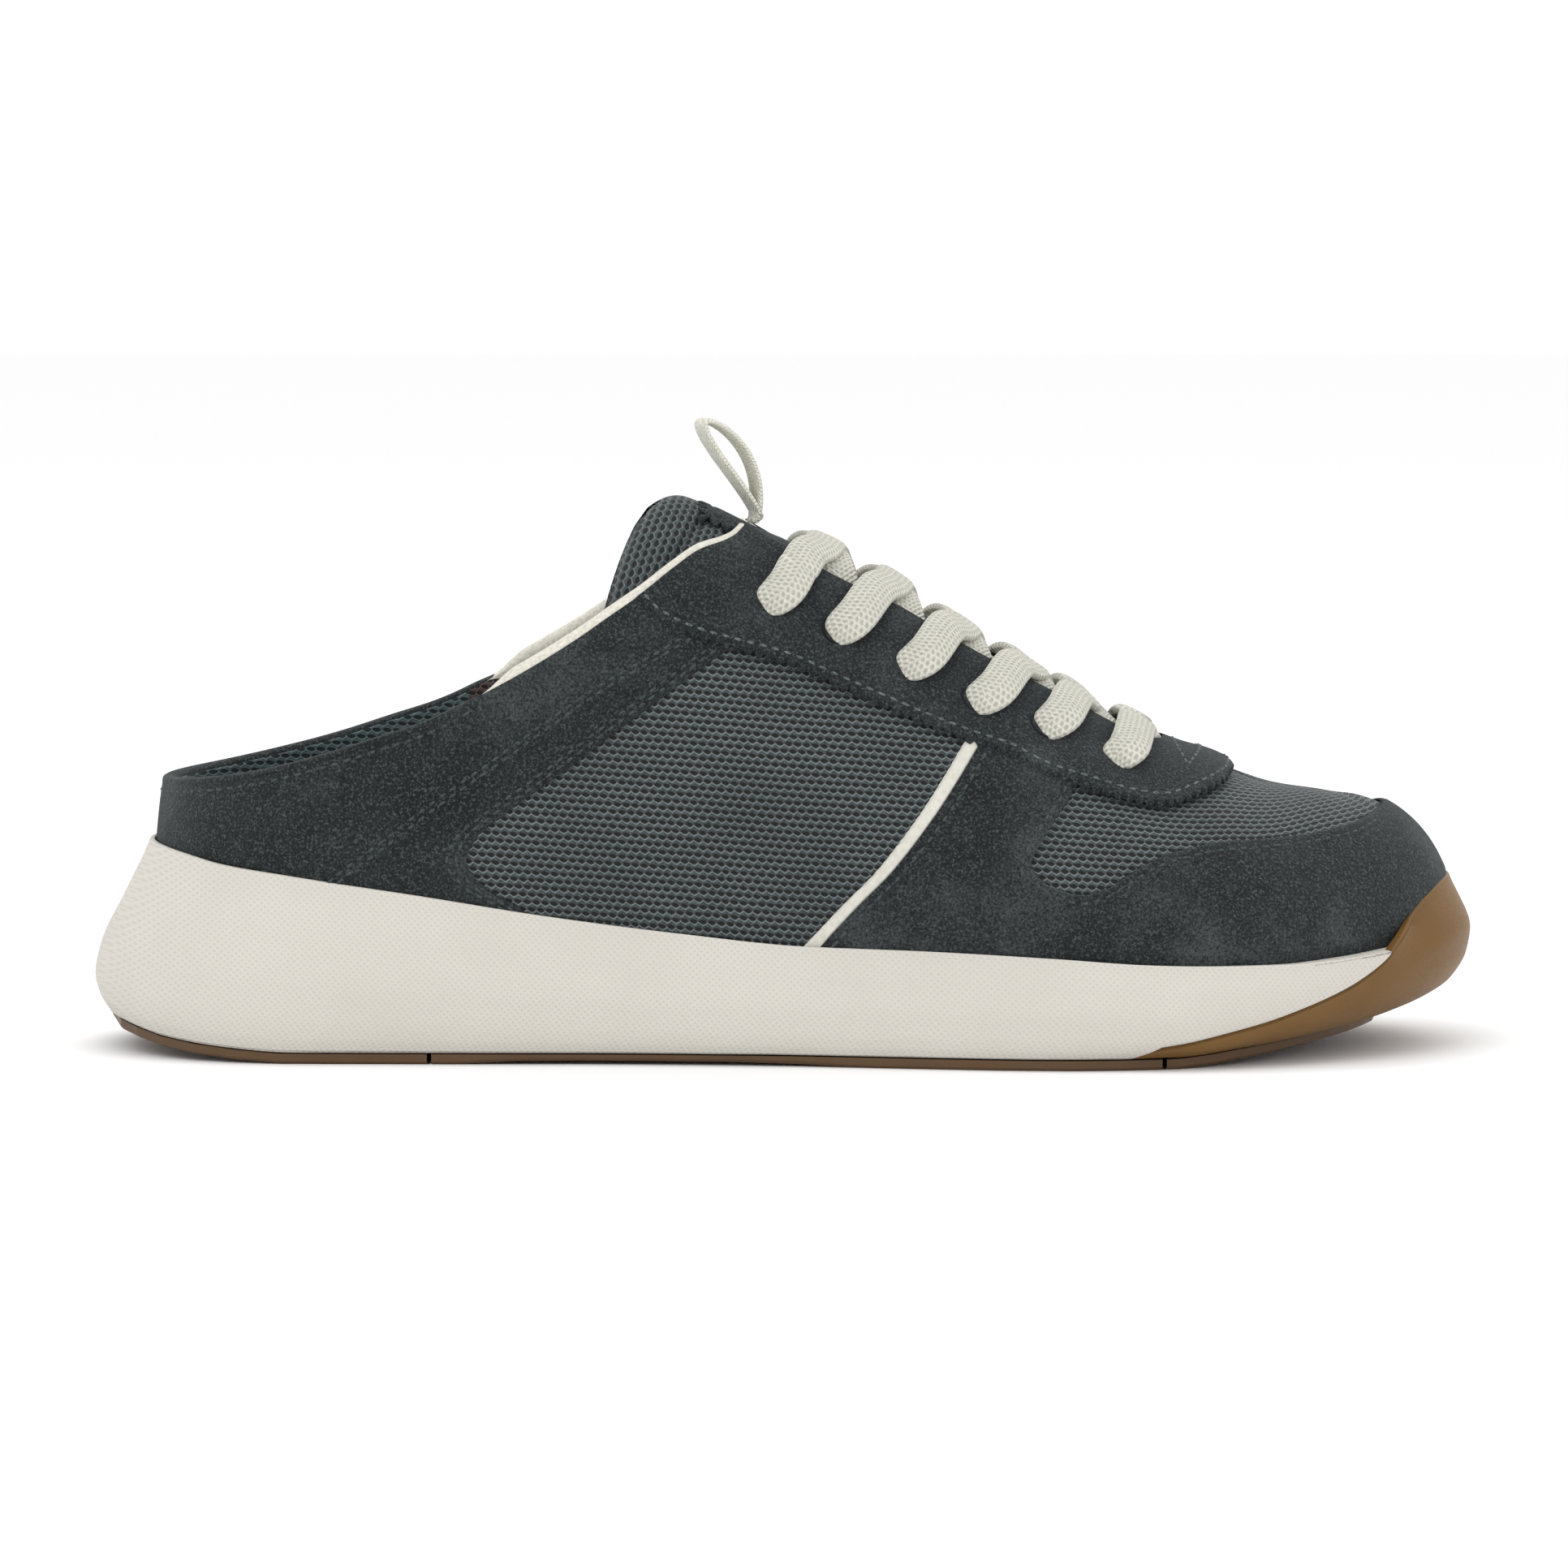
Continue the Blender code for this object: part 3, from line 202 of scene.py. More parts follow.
EYELET_FIRST, EYELET_LAST = 0.491, 0.737
PATCH_SPAN = (0.455, 0.512)

# Looks: sizes of the fine forms, in metres
SUEDE = 0.0013
THIN_SUEDE = SUEDE * 0.72
EDGE_RADIUS = 0.0007
SINK = 0.0003
EYESTAY_LIFT = 0.0007
UNDERLAP = 0.0022
TUCK_DEPTH = 0.0016
TUCK_HEIGHT = 0.0032
HEM_STEPS = (0.00008, 0.00020, 0.00040, 0.00068)
PADDING, PADDED_BAND = 0.0030, 0.016
SPACER_END, BROWN_END = 0.232, 0.262
BUMPER_TOP_THICKNESS = 0.0016
BOTTOM_TUCK = 0.004
PIPING = 0.0026
PATCH_BULGE = 0.0002101
PINK_PITCH = 0.0023
PINK_DEPTH = 0.0011
TONGUE_RIM = 0.0105
TONGUE_HUMP, HUMP_X = 0.0022, 0.0345
LACE_LIFT = SUEDE + EYESTAY_LIFT + 0.0013
RELIEF = 0.00016
STITCH_PITCH, STITCH_LENGTH, THREAD_RADIUS = 0.0026, 0.0019, 0.00028
STITCH_DROP = 0.00008

# runs of the laces ahead of their eyelets, as shares of the eyelets' pitch
LACE_RUN, LACE_RUN_FRONT, LACE_RUN_BAR = 0.80, 0.56, 0.45

# five sections of a stitch: place along its length, then lift and width as shares of the thread's radius
STITCH_STEPS = (-0.5, -0.32, 0.0, 0.32, 0.5)
STITCH_LIFTS = (-0.9, -0.1, 0.35, -0.1, -0.9)
STITCH_WIDTHS = (0.35, 0.95, 1.1, 0.95, 0.35)

# rings of an eyelet's hole: radius, and height over the suede
HOLE_RINGS = ((0.0027, -0.0001), (0.0024, 0.0001), (0.0021, -0.0001), (0.0002, -0.0006))

# shares of length between which the side's flare fades, the bumper lies on the upper, and the throat starts
FLARE_FADE, ON_UPPER, AT_THROAT = (0.84, 0.94), (0.93, 0.965), (0.47, 0.52)
TOE_FAN_START = 0.84
LOOP_SEAT = 0.482

# share of length on both sides of the step under the bumper, and share of height where the setback ends
STEP_SHARE, SETBACK_TOP = 0.0006, 0.985

# share of length, how much lower the laced throat is drawn than in the solids, in metres
THROAT_SAG = (
    (0.500, 0.0000),
    (0.545, 0.0018),
    (0.590, 0.0034),
    (0.635, 0.0042),
    (0.700, 0.0038),
    (0.755, 0.0028),
    (0.785, 0.0014),
    (0.812, 0.0000),
)

# X and Z of the small stitched V in front of the laces
V_STITCH = ((0.0790, 0.0625), (0.0820, 0.0575), (0.0855, 0.0600))

# side (0 for both), then X and Z of a crease's two ends, its width and its depth
CREASES = (
    (0, 0.046, 0.064, 0.060, 0.046, 0.0050, -0.00060),
    (0, 0.058, 0.062, 0.074, 0.043, 0.0045, 0.00045),
    (0, 0.071, 0.057, 0.086, 0.041, 0.0055, -0.00045),
    (-1, -0.080, 0.050, -0.055, 0.062, 0.0060, -0.00050),
    (-1, -0.104, 0.050, -0.086, 0.044, 0.0050, 0.00035),
    (1, -0.075, 0.056, -0.050, 0.050, 0.0060, -0.00045),
    (0, -0.034, 0.080, -0.014, 0.078, 0.0060, 0.00050),
    (0, 0.092, 0.048, 0.112, 0.040, 0.0060, -0.00035),
)

# Distances of the stitch rows from their seams and edges
COUNTER_STITCHES, QUARTER_STITCHES = (-0.0022, -0.0042), (-0.0021, -0.0040)
EDGE_INSET, COLLAR_INSET = 0.0019, 0.0022

# Stage: the lamps' names, places, sizes and powers, then the floor, the sky and the camera
LAMPS = (
    ("key", (-0.7, -1.3, 1.5), 1.2, 6.0),
    ("top", (0.2, 0.1, 1.7), 1.6, 5.0),
    ("fill", (1.3, -1.0, 0.8), 1.2, 2.0),
    ("back", (0.3, 1.5, 1.1), 1.2, 3.0),
)
LAMP_TARGET = (0.0, 0.0, 0.05)
FLOOR_SIZE, FLOOR_COLOUR = 12.0, (0.96, 0.96, 0.96, 1)
SKY_STRENGTH = 1.02
CAMERA_PLACE, CAMERA_TARGET = (0.0, -1.5, 0.178), (0.0, 0.0, 0.05387)
LENS_MM, SENSOR_MM = 167.3, 36.0


def lerp(a, b, t):
    return a + (b - a) * t


def read(table, column, share):
    """Values of a table's column at shares, on a smooth curve that does not overshoot its rows."""
    at = np.array([row[0] for row in table], float)
    values = np.array([row[column] for row in table], float)
    step = np.diff(values) / np.diff(at)
    slope = np.zeros(len(at))
    slope[0] = step[0]
    before, after = step[:-1], step[1:]
    steady = before * after > 0
    total = np.where(steady, before + after, 1.0)
    slope[1:-1] = np.where(steady, 2 * before * after / total, 0.0)
    share = np.clip(np.asarray(share, float), at[0], at[-1])
    row = np.clip(np.searchsorted(at, share) - 1, 0, len(at) - 2)
    span = at[row + 1] - at[row]
    t = (share - at[row]) / span
    return (
        (2 * t**3 - 3 * t**2 + 1) * values[row]
        + (t**3 - 2 * t**2 + t) * span * slope[row]
        + (3 * t**2 - 2 * t**3) * values[row + 1]
        + (t**3 - t**2) * span * slope[row + 1]
    )


def smooth_step(low, high, value):
    t = np.clip((np.asarray(value, float) - low) / (high - low), 0.0, 1.0)
    return t * t * (3 - 2 * t)


def same_shape(*values):
    return [np.array(v, float) for v in np.broadcast_arrays(*values)]


def stacked(*values):
    """Values side by side on a new last axis, such as X, Y and Z, or share, side and v."""
    return np.stack(same_shape(*values), axis=-1)


def unit(vectors):
    size = np.linalg.norm(vectors, axis=-1, keepdims=True)
    return vectors / np.maximum(size, 1e-12)


def round_off(t):
    """Quarter circle: 0 at an edge, 1 a whole radius in from it."""
    return np.sqrt(1 - (1 - t) ** 2)


def run_along(points, axis=0):
    """Distance along rows of points, from 0 at the first of each row."""
    steps = np.linalg.norm(np.diff(points, axis=axis), axis=-1)
    return np.insert(np.cumsum(steps, axis=axis), 0, 0.0, axis=axis)


def resampled(points, count):
    """Even points along a polyline."""
    run = run_along(points)
    at = np.linspace(0, run[-1], count)
    return np.stack([np.interp(at, run, values) for values in points.T], axis=-1)


def closing(share):
    """How the outline rounds off to nothing at the heel and at the toe."""
    share = np.asarray(share, float)
    heel = np.clip(1 - share / HEEL_ROUND, 0, 1)
    toe = np.clip(1 - (1 - share) / TOE_ROUND, 0, 1)
    at_heel = np.maximum(1 - heel**HEEL_POWER, 0) ** (1 / HEEL_POWER)
    return at_heel * np.maximum(1 - toe**TOE_POWER, 0) ** (1 / TOE_POWER)


def raw_edge(share, side):
    half = BALL_WIDTH / 2
    return half * (read(PLAN, 1, share) + side * read(PLAN, 2, share) * closing(share))


SHARES = np.linspace(0, 1, 201)
Y_MIDDLE = (raw_edge(SHARES, LATERAL).min() + raw_edge(SHARES, MEDIAL).max()) / 2


def centre(share):
    return BALL_WIDTH / 2 * read(PLAN, 1, share) - Y_MIDDLE


def plan(share, side, heel_in, side_in, toe_in):
    """A point of the sole's outline, drawn in by a distance at the heel, the sides and the toe."""
    x = -LENGTH / 2 + heel_in + share * (LENGTH - heel_in - toe_in)
    half = BALL_WIDTH / 2 * read(PLAN, 2, share) - side_in
    return x, centre(share) + side * half * closing(share)


def share_at(x):
    return (x + LENGTH / 2) / LENGTH


def x_at(share):
    return -LENGTH / 2 + share * LENGTH


def tread(share):
    lift = HEEL_LIFT * read(TREAD_LINE, 1, share) + TOE_LIFT * read(TREAD_LINE, 3, share)
    return lift + ARCH_LIFT * read(TREAD_LINE, 2, share)


def wall_foot(share):
    return tread(share) - ARCH_LIFT * read(TREAD_LINE, 2, share) + SLAB


def rim(share):
    return HEEL_STACK * read(RIM, 1, share)


def wall(share, side, height, depth=0.0):
    """Points on the sole's side wall, or a depth inside it. Height 0 is its foot and 1 the rim."""
    share, side, height = same_shape(share, side, height)
    fade = 1 - smooth_step(*FLARE_FADE, share)

    def at(s, h):
        heel_in, toe_in = HEEL_FLARE * read(WALL, 1, h), TOE_TUCK * read(WALL, 3, h)
        x, y = plan(s, side, heel_in, SIDE_FLARE * read(WALL, 2, h) * fade, toe_in)
        return stacked(x, y, lerp(wall_foot(s), rim(s), h))

    point = at(share, height)
    step = 0.01
    rise = at(share, np.minimum(height + step, WALL[-1][0])) - at(share, np.maximum(height - step, 0))
    near = np.clip(share, 0.002, 0.998)
    run = at(near + 0.0015, height) - at(near - 0.0015, height)
    tip = (share > 0.999) | (share < 0.001)
    run[tip] = (0, 1, 0)
    inward = unit(np.cross(run, rise))
    away = stacked(0.0, centre(share), point[..., 2]) - point
    inward = np.where((np.sum(inward * away, axis=-1) < 0)[..., None], -inward, inward)
    return point + inward * np.asarray(depth, float)[..., None]


UPPER_IN = (
    HEEL_FLARE + LIP + GAP,
    SIDE_FLARE + LIP + GAP,
    BUMPER_WALL + GAP + LIP + GAP,
)


def inside(extra):
    """Insets of an outline that lies a distance inside the upper's own."""
    return tuple(inset + extra for inset in UPPER_IN)


def floor_height(share):
    return HEEL_STACK * read(FLOOR, 1, share)


def ridge_height(share):
    return INSTEP_HEIGHT * read(RIDGE, 1, share) - read(THROAT_SAG, 1, share)


def rib(share, side, v):
    """Points of the last. v runs from 0 at the foot edge to 1 at the ridge."""
    share, side, v = same_shape(share, side, v)
    foot_x, foot_y = plan(share, side, *UPPER_IN)
    foot_z = floor_height(share) + GAP
    top = read(RIBS, 1, share)
    power = 2 / read(RIBS, 2, share)
    out = np.maximum(0.0, np.cos(v * math.pi / 2)) ** power
    up = np.maximum(0.0, np.sin(v * math.pi / 2)) ** power
    x = lerp(x_at(top), foot_x, out)
    y = lerp(centre(top), foot_y, out)
    return stacked(x, y, lerp(foot_z, ridge_height(top), up))


def side_normal(share, side, v):
    """Outward direction of one side of the last."""
    rise = rib(share, side, np.minimum(v + 0.01, 1.0)) - rib(share, side, np.maximum(v - 0.01, 0.0))
    near = np.maximum(np.minimum(np.minimum(share, 1 - share), 0.002) * 0.5, 1e-5)
    run = rib(share + near, side, v) - rib(share - near, side, v)
    tip = (share < 0.0005) | (share > 0.9995)
    end = np.where(share < 0.5, 0.001, 0.999)
    across = rib(end, MEDIAL, v) - rib(end, LATERAL, v)
    run = np.where(tip[..., None], across, run)
    out = unit(np.cross(run, rise))
    top = read(RIBS, 1, share)
    core = stacked(x_at(top), centre(top), floor_height(share))
    facing = np.sum(out * (rib(share, side, v) - core), axis=-1)
    return np.where((facing < 0)[..., None], -out, out)


def last_normal(share, side, v):
    """Outward direction of the last, shared by both sides along the ridge."""
    share, side, v = same_shape(share, side, v)
    low = np.minimum(v, 0.985)
    mix = (0.5 * smooth_step(0.94, 1.0, v))[..., None]
    return unit(side_normal(share, side, low) * (1 - mix) + side_normal(share, -side, low) * mix)


def relief(points, side):
    """Soft unevenness of the worn-in upper: slow waves, and the listed creases."""
    x, y, z = points[..., 0], points[..., 1], points[..., 2]
    waves = np.sin(x * 190 + z * 95 + 0.8) * np.sin(z * 170 - x * 60 + side * 0.9)
    waves = waves + 0.6 * np.sin(x * 95 - z * 230 + y * 120 + 2.1)
    raised = waves * RELIEF
    for turned, x0, z0, x1, z1, width, depth in CREASES:
        dx, dz = x1 - x0, z1 - z0
        t = np.clip(((x - x0) * dx + (z - z0) * dz) / (dx * dx + dz * dz), 0, 1)
        bow = 4 * t * (1 - t) * width * 0.6
        away = np.hypot(x - x0 - t * dx, z - z0 - t * dz - bow)
        fade = np.sin(np.clip(t, 0.02, 0.98) * math.pi) ** 0.5
        here = 1.0 if turned == 0 else (np.sign(side) == turned)
        raised = raised + here * fade * depth * np.exp(-((away / width) ** 2))
    return raised


def surface(share, side, v, offset=0.0):
    """Points over the last at a height above it, with the upper's unevenness."""
    share, side, v = same_shape(share, side, v)
    point = rib(share, side, v)
    raised = np.asarray(offset, float) + relief(point, side)
    return point + last_normal(share, side, v) * raised[..., None]


def over_last(places, offset=0.0):
    """Points over the last for a line or a grid of (share, side, v) places."""
    return surface(places[..., 0], places[..., 1], places[..., 2], offset)


def v_at_height(share, height):
    foot = floor_height(share) + GAP
    top = ridge_height(read(RIBS, 1, share))
    up = np.clip((height - foot) / (top - foot), 0.0, 1.0)
    return np.arcsin(up ** (read(RIBS, 2, share) / 2)) * 2 / math.pi


def search(share, side, start, below):
    """Bisection along the ribs: how far up each one a test stops holding."""
    share, side = same_shape(share, side)
    low, high = np.full(share.shape, float(start)), np.ones(share.shape)
    for _ in range(26):
        v = (low + high) / 2
        under = below(rib(share, side, v), share)
        low, high = np.where(under, v, low), np.where(under, high, v)
    return high


def v_at_line(share, side, line):
    return search(share, side, 0.0, lambda point, s: point[..., 2] < line(point[..., 0]))


def spot(x, z, side):
    """Shares, sides and v at which the side of the last is met at an X and a height."""
    x, z, side = same_shape(x, z, side)
    share = share_at(x)
    for _ in range(12):
        v = v_at_height(share, z)
        share = np.clip(share + (x - rib(share, side, v)[..., 0]) / LENGTH, 0.0, 1.0)
    return stacked(share, side, v)


def collar_line(x):
    return COLLAR_HEIGHT * read(COLLAR, 1, share_at(x))


def throat_half(x):
    return THROAT_HALF * read(THROAT, 1, share_at(x))


def opening(share, side):
    """v of the edge of the foot opening: the collar, then the throat, then none."""
    share, side = same_shape(share, side)
    collar = v_at_line(share, side, collar_line)

    def outside(point, s):
        return np.abs(point[..., 1] - centre(s)) > throat_half(point[..., 0])

    throat = search(share, side, 0.5, outside)
    edge = np.where(share > THROAT[0][0], np.minimum(collar, throat), collar)
    return np.where(share > THROAT_END, 1.0, edge)


def over_instep(x, y, offset):
    """Points over the instep by X and by Y off the centre line, and the direction outward."""
    x, y = same_shape(x, y)
    share = np.clip(share_at(x), 0.0, 1.0)
    for _ in range(8):
        top = x_at(read(RIBS, 1, share))
        foot = plan(share, LATERAL, *UPPER_IN)[0]
        half = BALL_WIDTH / 2 * read(PLAN, 2, share) - UPPER_IN[1]
        out = np.minimum(np.abs(y) / half, 0.98)
        share = np.clip(share + (x - lerp(top, foot, out)) / LENGTH, 0.05, 0.95)
    side = np.where(y < 0, LATERAL, MEDIAL).astype(float)
    v = np.arccos(out ** (read(RIBS, 2, share) / 2)) * 2 / math.pi
    normal = last_normal(share, side, v)
    return rib(share, side, v) + normal * np.asarray(offset, float)[..., None], normal


def rim_line(x):
    share = (x + LENGTH / 2 - HEEL_FLARE) / (LENGTH - HEEL_FLARE)
    return rim(np.clip(share, 0.0, 1.0))


def eyestay_line(x):
    return INSTEP_HEIGHT * read(EYESTAY_EDGE, 1, share_at(x))


def toe_panel_line(x):
    return INSTEP_HEIGHT * read(TOE_PANEL_EDGE, 1, share_at(x))


def edge_from(table, shift=0.0):
    """A slanted seam of the side view, as an X for a height."""
    return lambda z: x_at(read(table, 1, z / INSTEP_HEIGHT)) + shift


def meets(edge, line):
    """Height at which a seam of the side view meets a line that gives a height for an X."""
    low, high = 0.0, INSTEP_HEIGHT * 1.2
    for _ in range(30):
        z = (low + high) / 2
        if z < line(edge(z)):
            low = z
        else:
            high = z
    return z


def bumper_top(share):
    """Height of the bumper's top edge as a share of the wall's height."""
    return read(BUMPER_EDGE, 1, share)


def spread(low, high, count):
    """Shares that bunch at the two ends of the shoe, where its outline turns."""
    first, last = math.acos(1 - 2 * low), math.acos(1 - 2 * high)
    return (1 - np.cos(np.linspace(first, last, count + 1))) / 2


def new_mesh(name, vertices, faces, finishes, indices=None, flat=None, merge=0.0):
    """Object from points and faces. flat gives each vertex's place on the cloth."""
    mesh = bpy.data.meshes.new(name)
    mesh.from_pydata(np.asarray(vertices).reshape(-1, 3).tolist(), [], faces)
    if flat is not None:
        layer = mesh.uv_layers.new(name="cloth")
        corner = np.zeros(len(mesh.loops), int)
        mesh.loops.foreach_get("vertex_index", corner)
        layer.data.foreach_set("uv", np.asarray(flat).reshape(-1, 2)[corner].ravel())
    for finish in finishes:
        mesh.materials.append(finish)
    if indices is not None:
        mesh.polygons.foreach_set("material_index", np.asarray(indices, np.int32))
    if merge:
        work = bmesh.new()
        work.from_mesh(mesh)
        bmesh.ops.remove_doubles(work, verts=work.verts, dist=merge)
        work.to_mesh(mesh)
        work.free()
    mesh.validate()
    mesh.shade_smooth()
    item = bpy.data.objects.new(name, mesh)
    bpy.context.scene.collection.objects.link(item)
    return item


def grid_faces(rows, cols, first=0, closed=False, flip=False):
    """Quads between the rows of a grid of points, and round it if it is closed."""
    faces = []
    for i in range(rows - 1):
        for j in range(cols if closed else cols - 1):
            k = (j + 1) % cols
            a, b = first + i * cols + j, first + i * cols + k
            c, d = first + (i + 1) * cols + k, first + (i + 1) * cols + j
            faces.append((a, d, c, b) if flip else (a, b, c, d))
    return faces


def turned_in(points, normal):
    """Whether a grid's faces, taken row by row, look against a given direction at its middle."""
    i, j = points.shape[0] // 2, points.shape[1] // 2
    i, j = min(i, points.shape[0] - 2), min(j, points.shape[1] - 2)
    run = points[i, j + 1] - points[i, j]
    rise = points[i + 1, j] - points[i, j]
    return float(np.dot(np.cross(run, rise), normal)) <= 0


def joined_grids(name, grids, finishes, flips, merge=2e-6, flats=None, slots=None):
    """One object from several grids of points. flips says which of them are turned over to face out."""
    faces, start = [], 0
    for points, flip in zip(grids, flips):
        rows, cols = points.shape[:2]
        faces += grid_faces(rows, cols, start, flip=flip)
        start += rows * cols
    vertices = np.concatenate([points.reshape(-1, 3) for points in grids])
    flat = None if flats is None else np.concatenate([part.reshape(-1, 2) for part in flats])
    indices = None if slots is None else np.concatenate(slots)
    return new_mesh(name, vertices, faces, finishes, indices, flat, merge)


def dress(item, slot, *nodes):
    """Rides with the shoe and stands for the solids that it replaces; slot is not used."""
    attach(item, "root")
    for node in nodes:
        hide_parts(node)


def hem(grid, which):
    """Extra rows close to a free edge of a grid of (share, side, v), so that the edge can be rounded."""
    axis, end = which
    work = np.moveaxis(grid, axis, 0)
    if end:
        work = work[::-1]
    points = rib(*np.moveaxis(work[:2], -1, 0))
    gap = np.maximum(np.linalg.norm(points[1] - points[0], axis=-1), 1e-6)
    extra = [lerp(work[0], work[1], np.minimum(step / gap, 0.9)[:, None]) for step in HEM_STEPS]
    work = np.concatenate([work[:1], np.array(extra), work[1:]])
    if end:
        work = work[::-1]
    return np.moveaxis(work, 0, axis)


FIRST_ROW, LAST_ROW, FIRST_COLUMN, LAST_COLUMN = (0, 0), (0, 1), (1, 0), (1, 1)


def rim_of(points, which):
    axis, end = which
    return np.moveaxis(points, axis, 0)[-1 if end else 0]


def distance_to(points, lines):
    """Distance of each point of a grid to the nearest of some lines."""
    step = 0.0005
    marks = [resampled(line, max(2, int(run_along(line)[-1] / step))) for line in lines]
    marks = np.concatenate(marks)
    tree = kdtree.KDTree(len(marks))
    for i, mark in enumerate(marks):
        tree.insert(mark, i)
    tree.balance()
    found = [tree.find(point)[2] for point in points.reshape(-1, 3)]
    return np.array(found).reshape(points.shape[:-1])


def tuck(points):
    """0 where an overlay slips behind the sole's rim, 1 clear above it."""
    share = np.clip(share_at(points[..., 0]), 0, 1)
    behind = lerp(wall_foot(share), rim(share), bumper_top(share))
    crest = np.where(share > BUMPER_FULL, behind, rim(share))
    return smooth_step(-GAP, TUCK_HEIGHT, points[..., 2] - crest)


def panel(name, grids, free, finish, thick, lift=0.0):
    """Sheet on the last, tucked in at the sole, with rounded cut edges. free lists each grid's cut edges."""
    made = []
    for grid, edges in zip(grids, free):
        for which in edges:
            grid = hem(grid, which)
        made.append(grid)
    bases = [over_last(grid) for grid in made]
    lines = [rim_of(base, which) for base, edges in zip(bases, free) for which in edges]
    shown, flips = [], []
    for grid, base in zip(made, bases):
        t = np.clip(distance_to(base, lines) / EDGE_RADIUS, 0, 1)
        full = lift + thick * round_off(t) - SINK * (1 - t)
        shown.append(over_last(grid, lerp(np.minimum(full, SINK), full, tuck(base))))
        i, j = grid.shape[0] // 2, grid.shape[1] // 2
        flips.append(turned_in(shown[-1], last_normal(*grid[i, j])))
    return joined_grids(name, shown, [finish], flips)


def both_sides(points):
    """A closed band of loops: one side up, the other side down."""
    return np.concatenate([points[0], points[1][:, ::-1]], axis=1)


def corner(before, edge, after, radius, count=4):
    """Points that round an edge between two directions, for a whole row of sections."""
    back, on = unit(before - edge), unit(after - edge)
    angles = [i / count * math.pi / 2 for i in range(count + 1)]
    return [edge + (back * (1 - math.sin(a)) + on * (1 - math.cos(a))) * radius for a in angles]


def turn_out(item):
    """Turns all faces of a closed body outwards."""
    work = bmesh.new()
    work.from_mesh(item.data)
    bmesh.ops.recalc_face_normals(work, faces=work.faces)
    work.to_mesh(item.data)
    work.free()


def closed_body(name, band, finish, capped=False, flat=None, merge=0.0):
    """Body through rows of points that each close on themselves, with or without caps at its ends."""
    count, cols = band.shape[:2]
    faces = grid_faces(count, cols, closed=True)
    if capped:
        faces += [tuple(range(cols)), tuple(range((count - 1) * cols, count * cols))]
    item = new_mesh(name, band, faces, [finish], flat=flat, merge=merge)
    turn_out(item)
    return item


def make_midsole(finish):
    """Foam sole with rounded rims, set back under the bumper."""
    shares = np.unique(np.concatenate([spread(0, BUMPER_START, 190), spread(BUMPER_START, 1, 110)]))
    shares = np.sort(np.append(shares, [BUMPER_START - STEP_SHARE, BUMPER_START + STEP_SHARE]))
    edge = bumper_top(shares)
    top = np.minimum(edge, SETBACK_TOP)
    under = np.where(shares >= BUMPER_START, BUMPER_WALL + GAP, 0.0)
    over = np.where(edge >= SETBACK_TOP, BUMPER_WALL + GAP, 0.0)
    low_count, high_count = 12, 24
    bands = []
    for side in (LATERAL, MEDIAL):
        low = [wall(shares, side, top * i / low_count, under) for i in range(low_count + 1)]
        high = [wall(shares, side, lerp(top, 1.0, i / high_count), over) for i in range(high_count + 1)]
        inner_x, inner_y = plan(shares, side, *inside(-GAP))
        lip = stacked(inner_x, inner_y, rim(shares))
        floor = stacked(inner_x, inner_y, floor_height(shares))
        bottom_x, bottom_y = plan(shares, side, HEEL_FLARE, SIDE_FLARE * 2, TOE_TUCK + BOTTOM_TUCK)
        bottom = stacked(bottom_x, bottom_y, wall_foot(shares))
        rows = [bottom, *corner(bottom, low[0], low[1], LIP * 0.5), *low[1:], *high[1:-1]]
        rows += corner(high[-2], high[-1], lip, LIP * 0.42)
        rows += corner(high[-1], lip, floor, LIP * 0.3, 3)
        rows += [lerp(lip, floor, 0.5), floor]
        bands.append(np.stack(rows, axis=1))
    item = closed_body("midsole_skin", both_sides(bands), finish, merge=1e-6)
    dress(item, "foam", "midsole")


def make_bumper(finish):
    """Gum rubber round the toe, with softened edges."""
    half = np.sort(np.append(spread(BUMPER_START, 1, 90), BUMPER_START + 0.0008))
    half = half[half >= BUMPER_START]
    shares = np.concatenate([half, half[-2::-1]])
    sides = np.concatenate([np.full(len(half), LATERAL), np.full(len(half) - 1, MEDIAL)])
    top = bumper_top(shares)
    count, first_on_upper = 40, 24
    heights = [top * i / count for i in range(count + 1)]
    outer = [wall(shares, sides, h) for h in heights]
    high = smooth_step(*ON_UPPER, shares)[:, None]
    for i in range(first_on_upper, count + 1):
        near = surface(shares, sides, v_at_height(shares, outer[i][:, 2]), BUMPER_TOP_THICKNESS)
        share_up = smooth_step(first_on_upper, count + 1, i)
        outer[i] = lerp(outer[i], near, high * share_up * (outer[i][:, 2:] > 0))
    inner = [wall(shares, sides, h, BUMPER_WALL) for h in heights]
    crest = outer[-1][:, 2] - GAP
    inner[-1] = lerp(inner[-1], surface(shares, sides, v_at_height(shares, crest)), high)
    radius = np.minimum(0.0007, np.linalg.norm(outer[-1] - inner[-1], axis=1) * 0.4)[:, None]
    rows = corner(inner[0], outer[0], outer[1], 0.0006)
    rows += outer[2:-1]
    rows += corner(outer[-2], outer[-1], inner[-1], radius, 6)
    rows += corner(outer[-1], inner[-1], inner[-2], radius * 0.5, 3)
    rows += inner[-2:0:-4] + [inner[0]]
    item = closed_body("toe_bumper_skin", np.stack(rows, axis=1), finish, capped=True, merge=1e-6)
    dress(item, "gum", "toe_bumper")


def rib_grid(shares, side, low, high, count):
    """Grid of (share, side, v) over a side: a row for each share, from low to high up its rib."""
    t = np.linspace(0, 1, count + 1)[None, :]
    v = lerp(np.asarray(low)[:, None], np.asarray(high)[:, None], t)
    return stacked(shares[:, None], side, v)


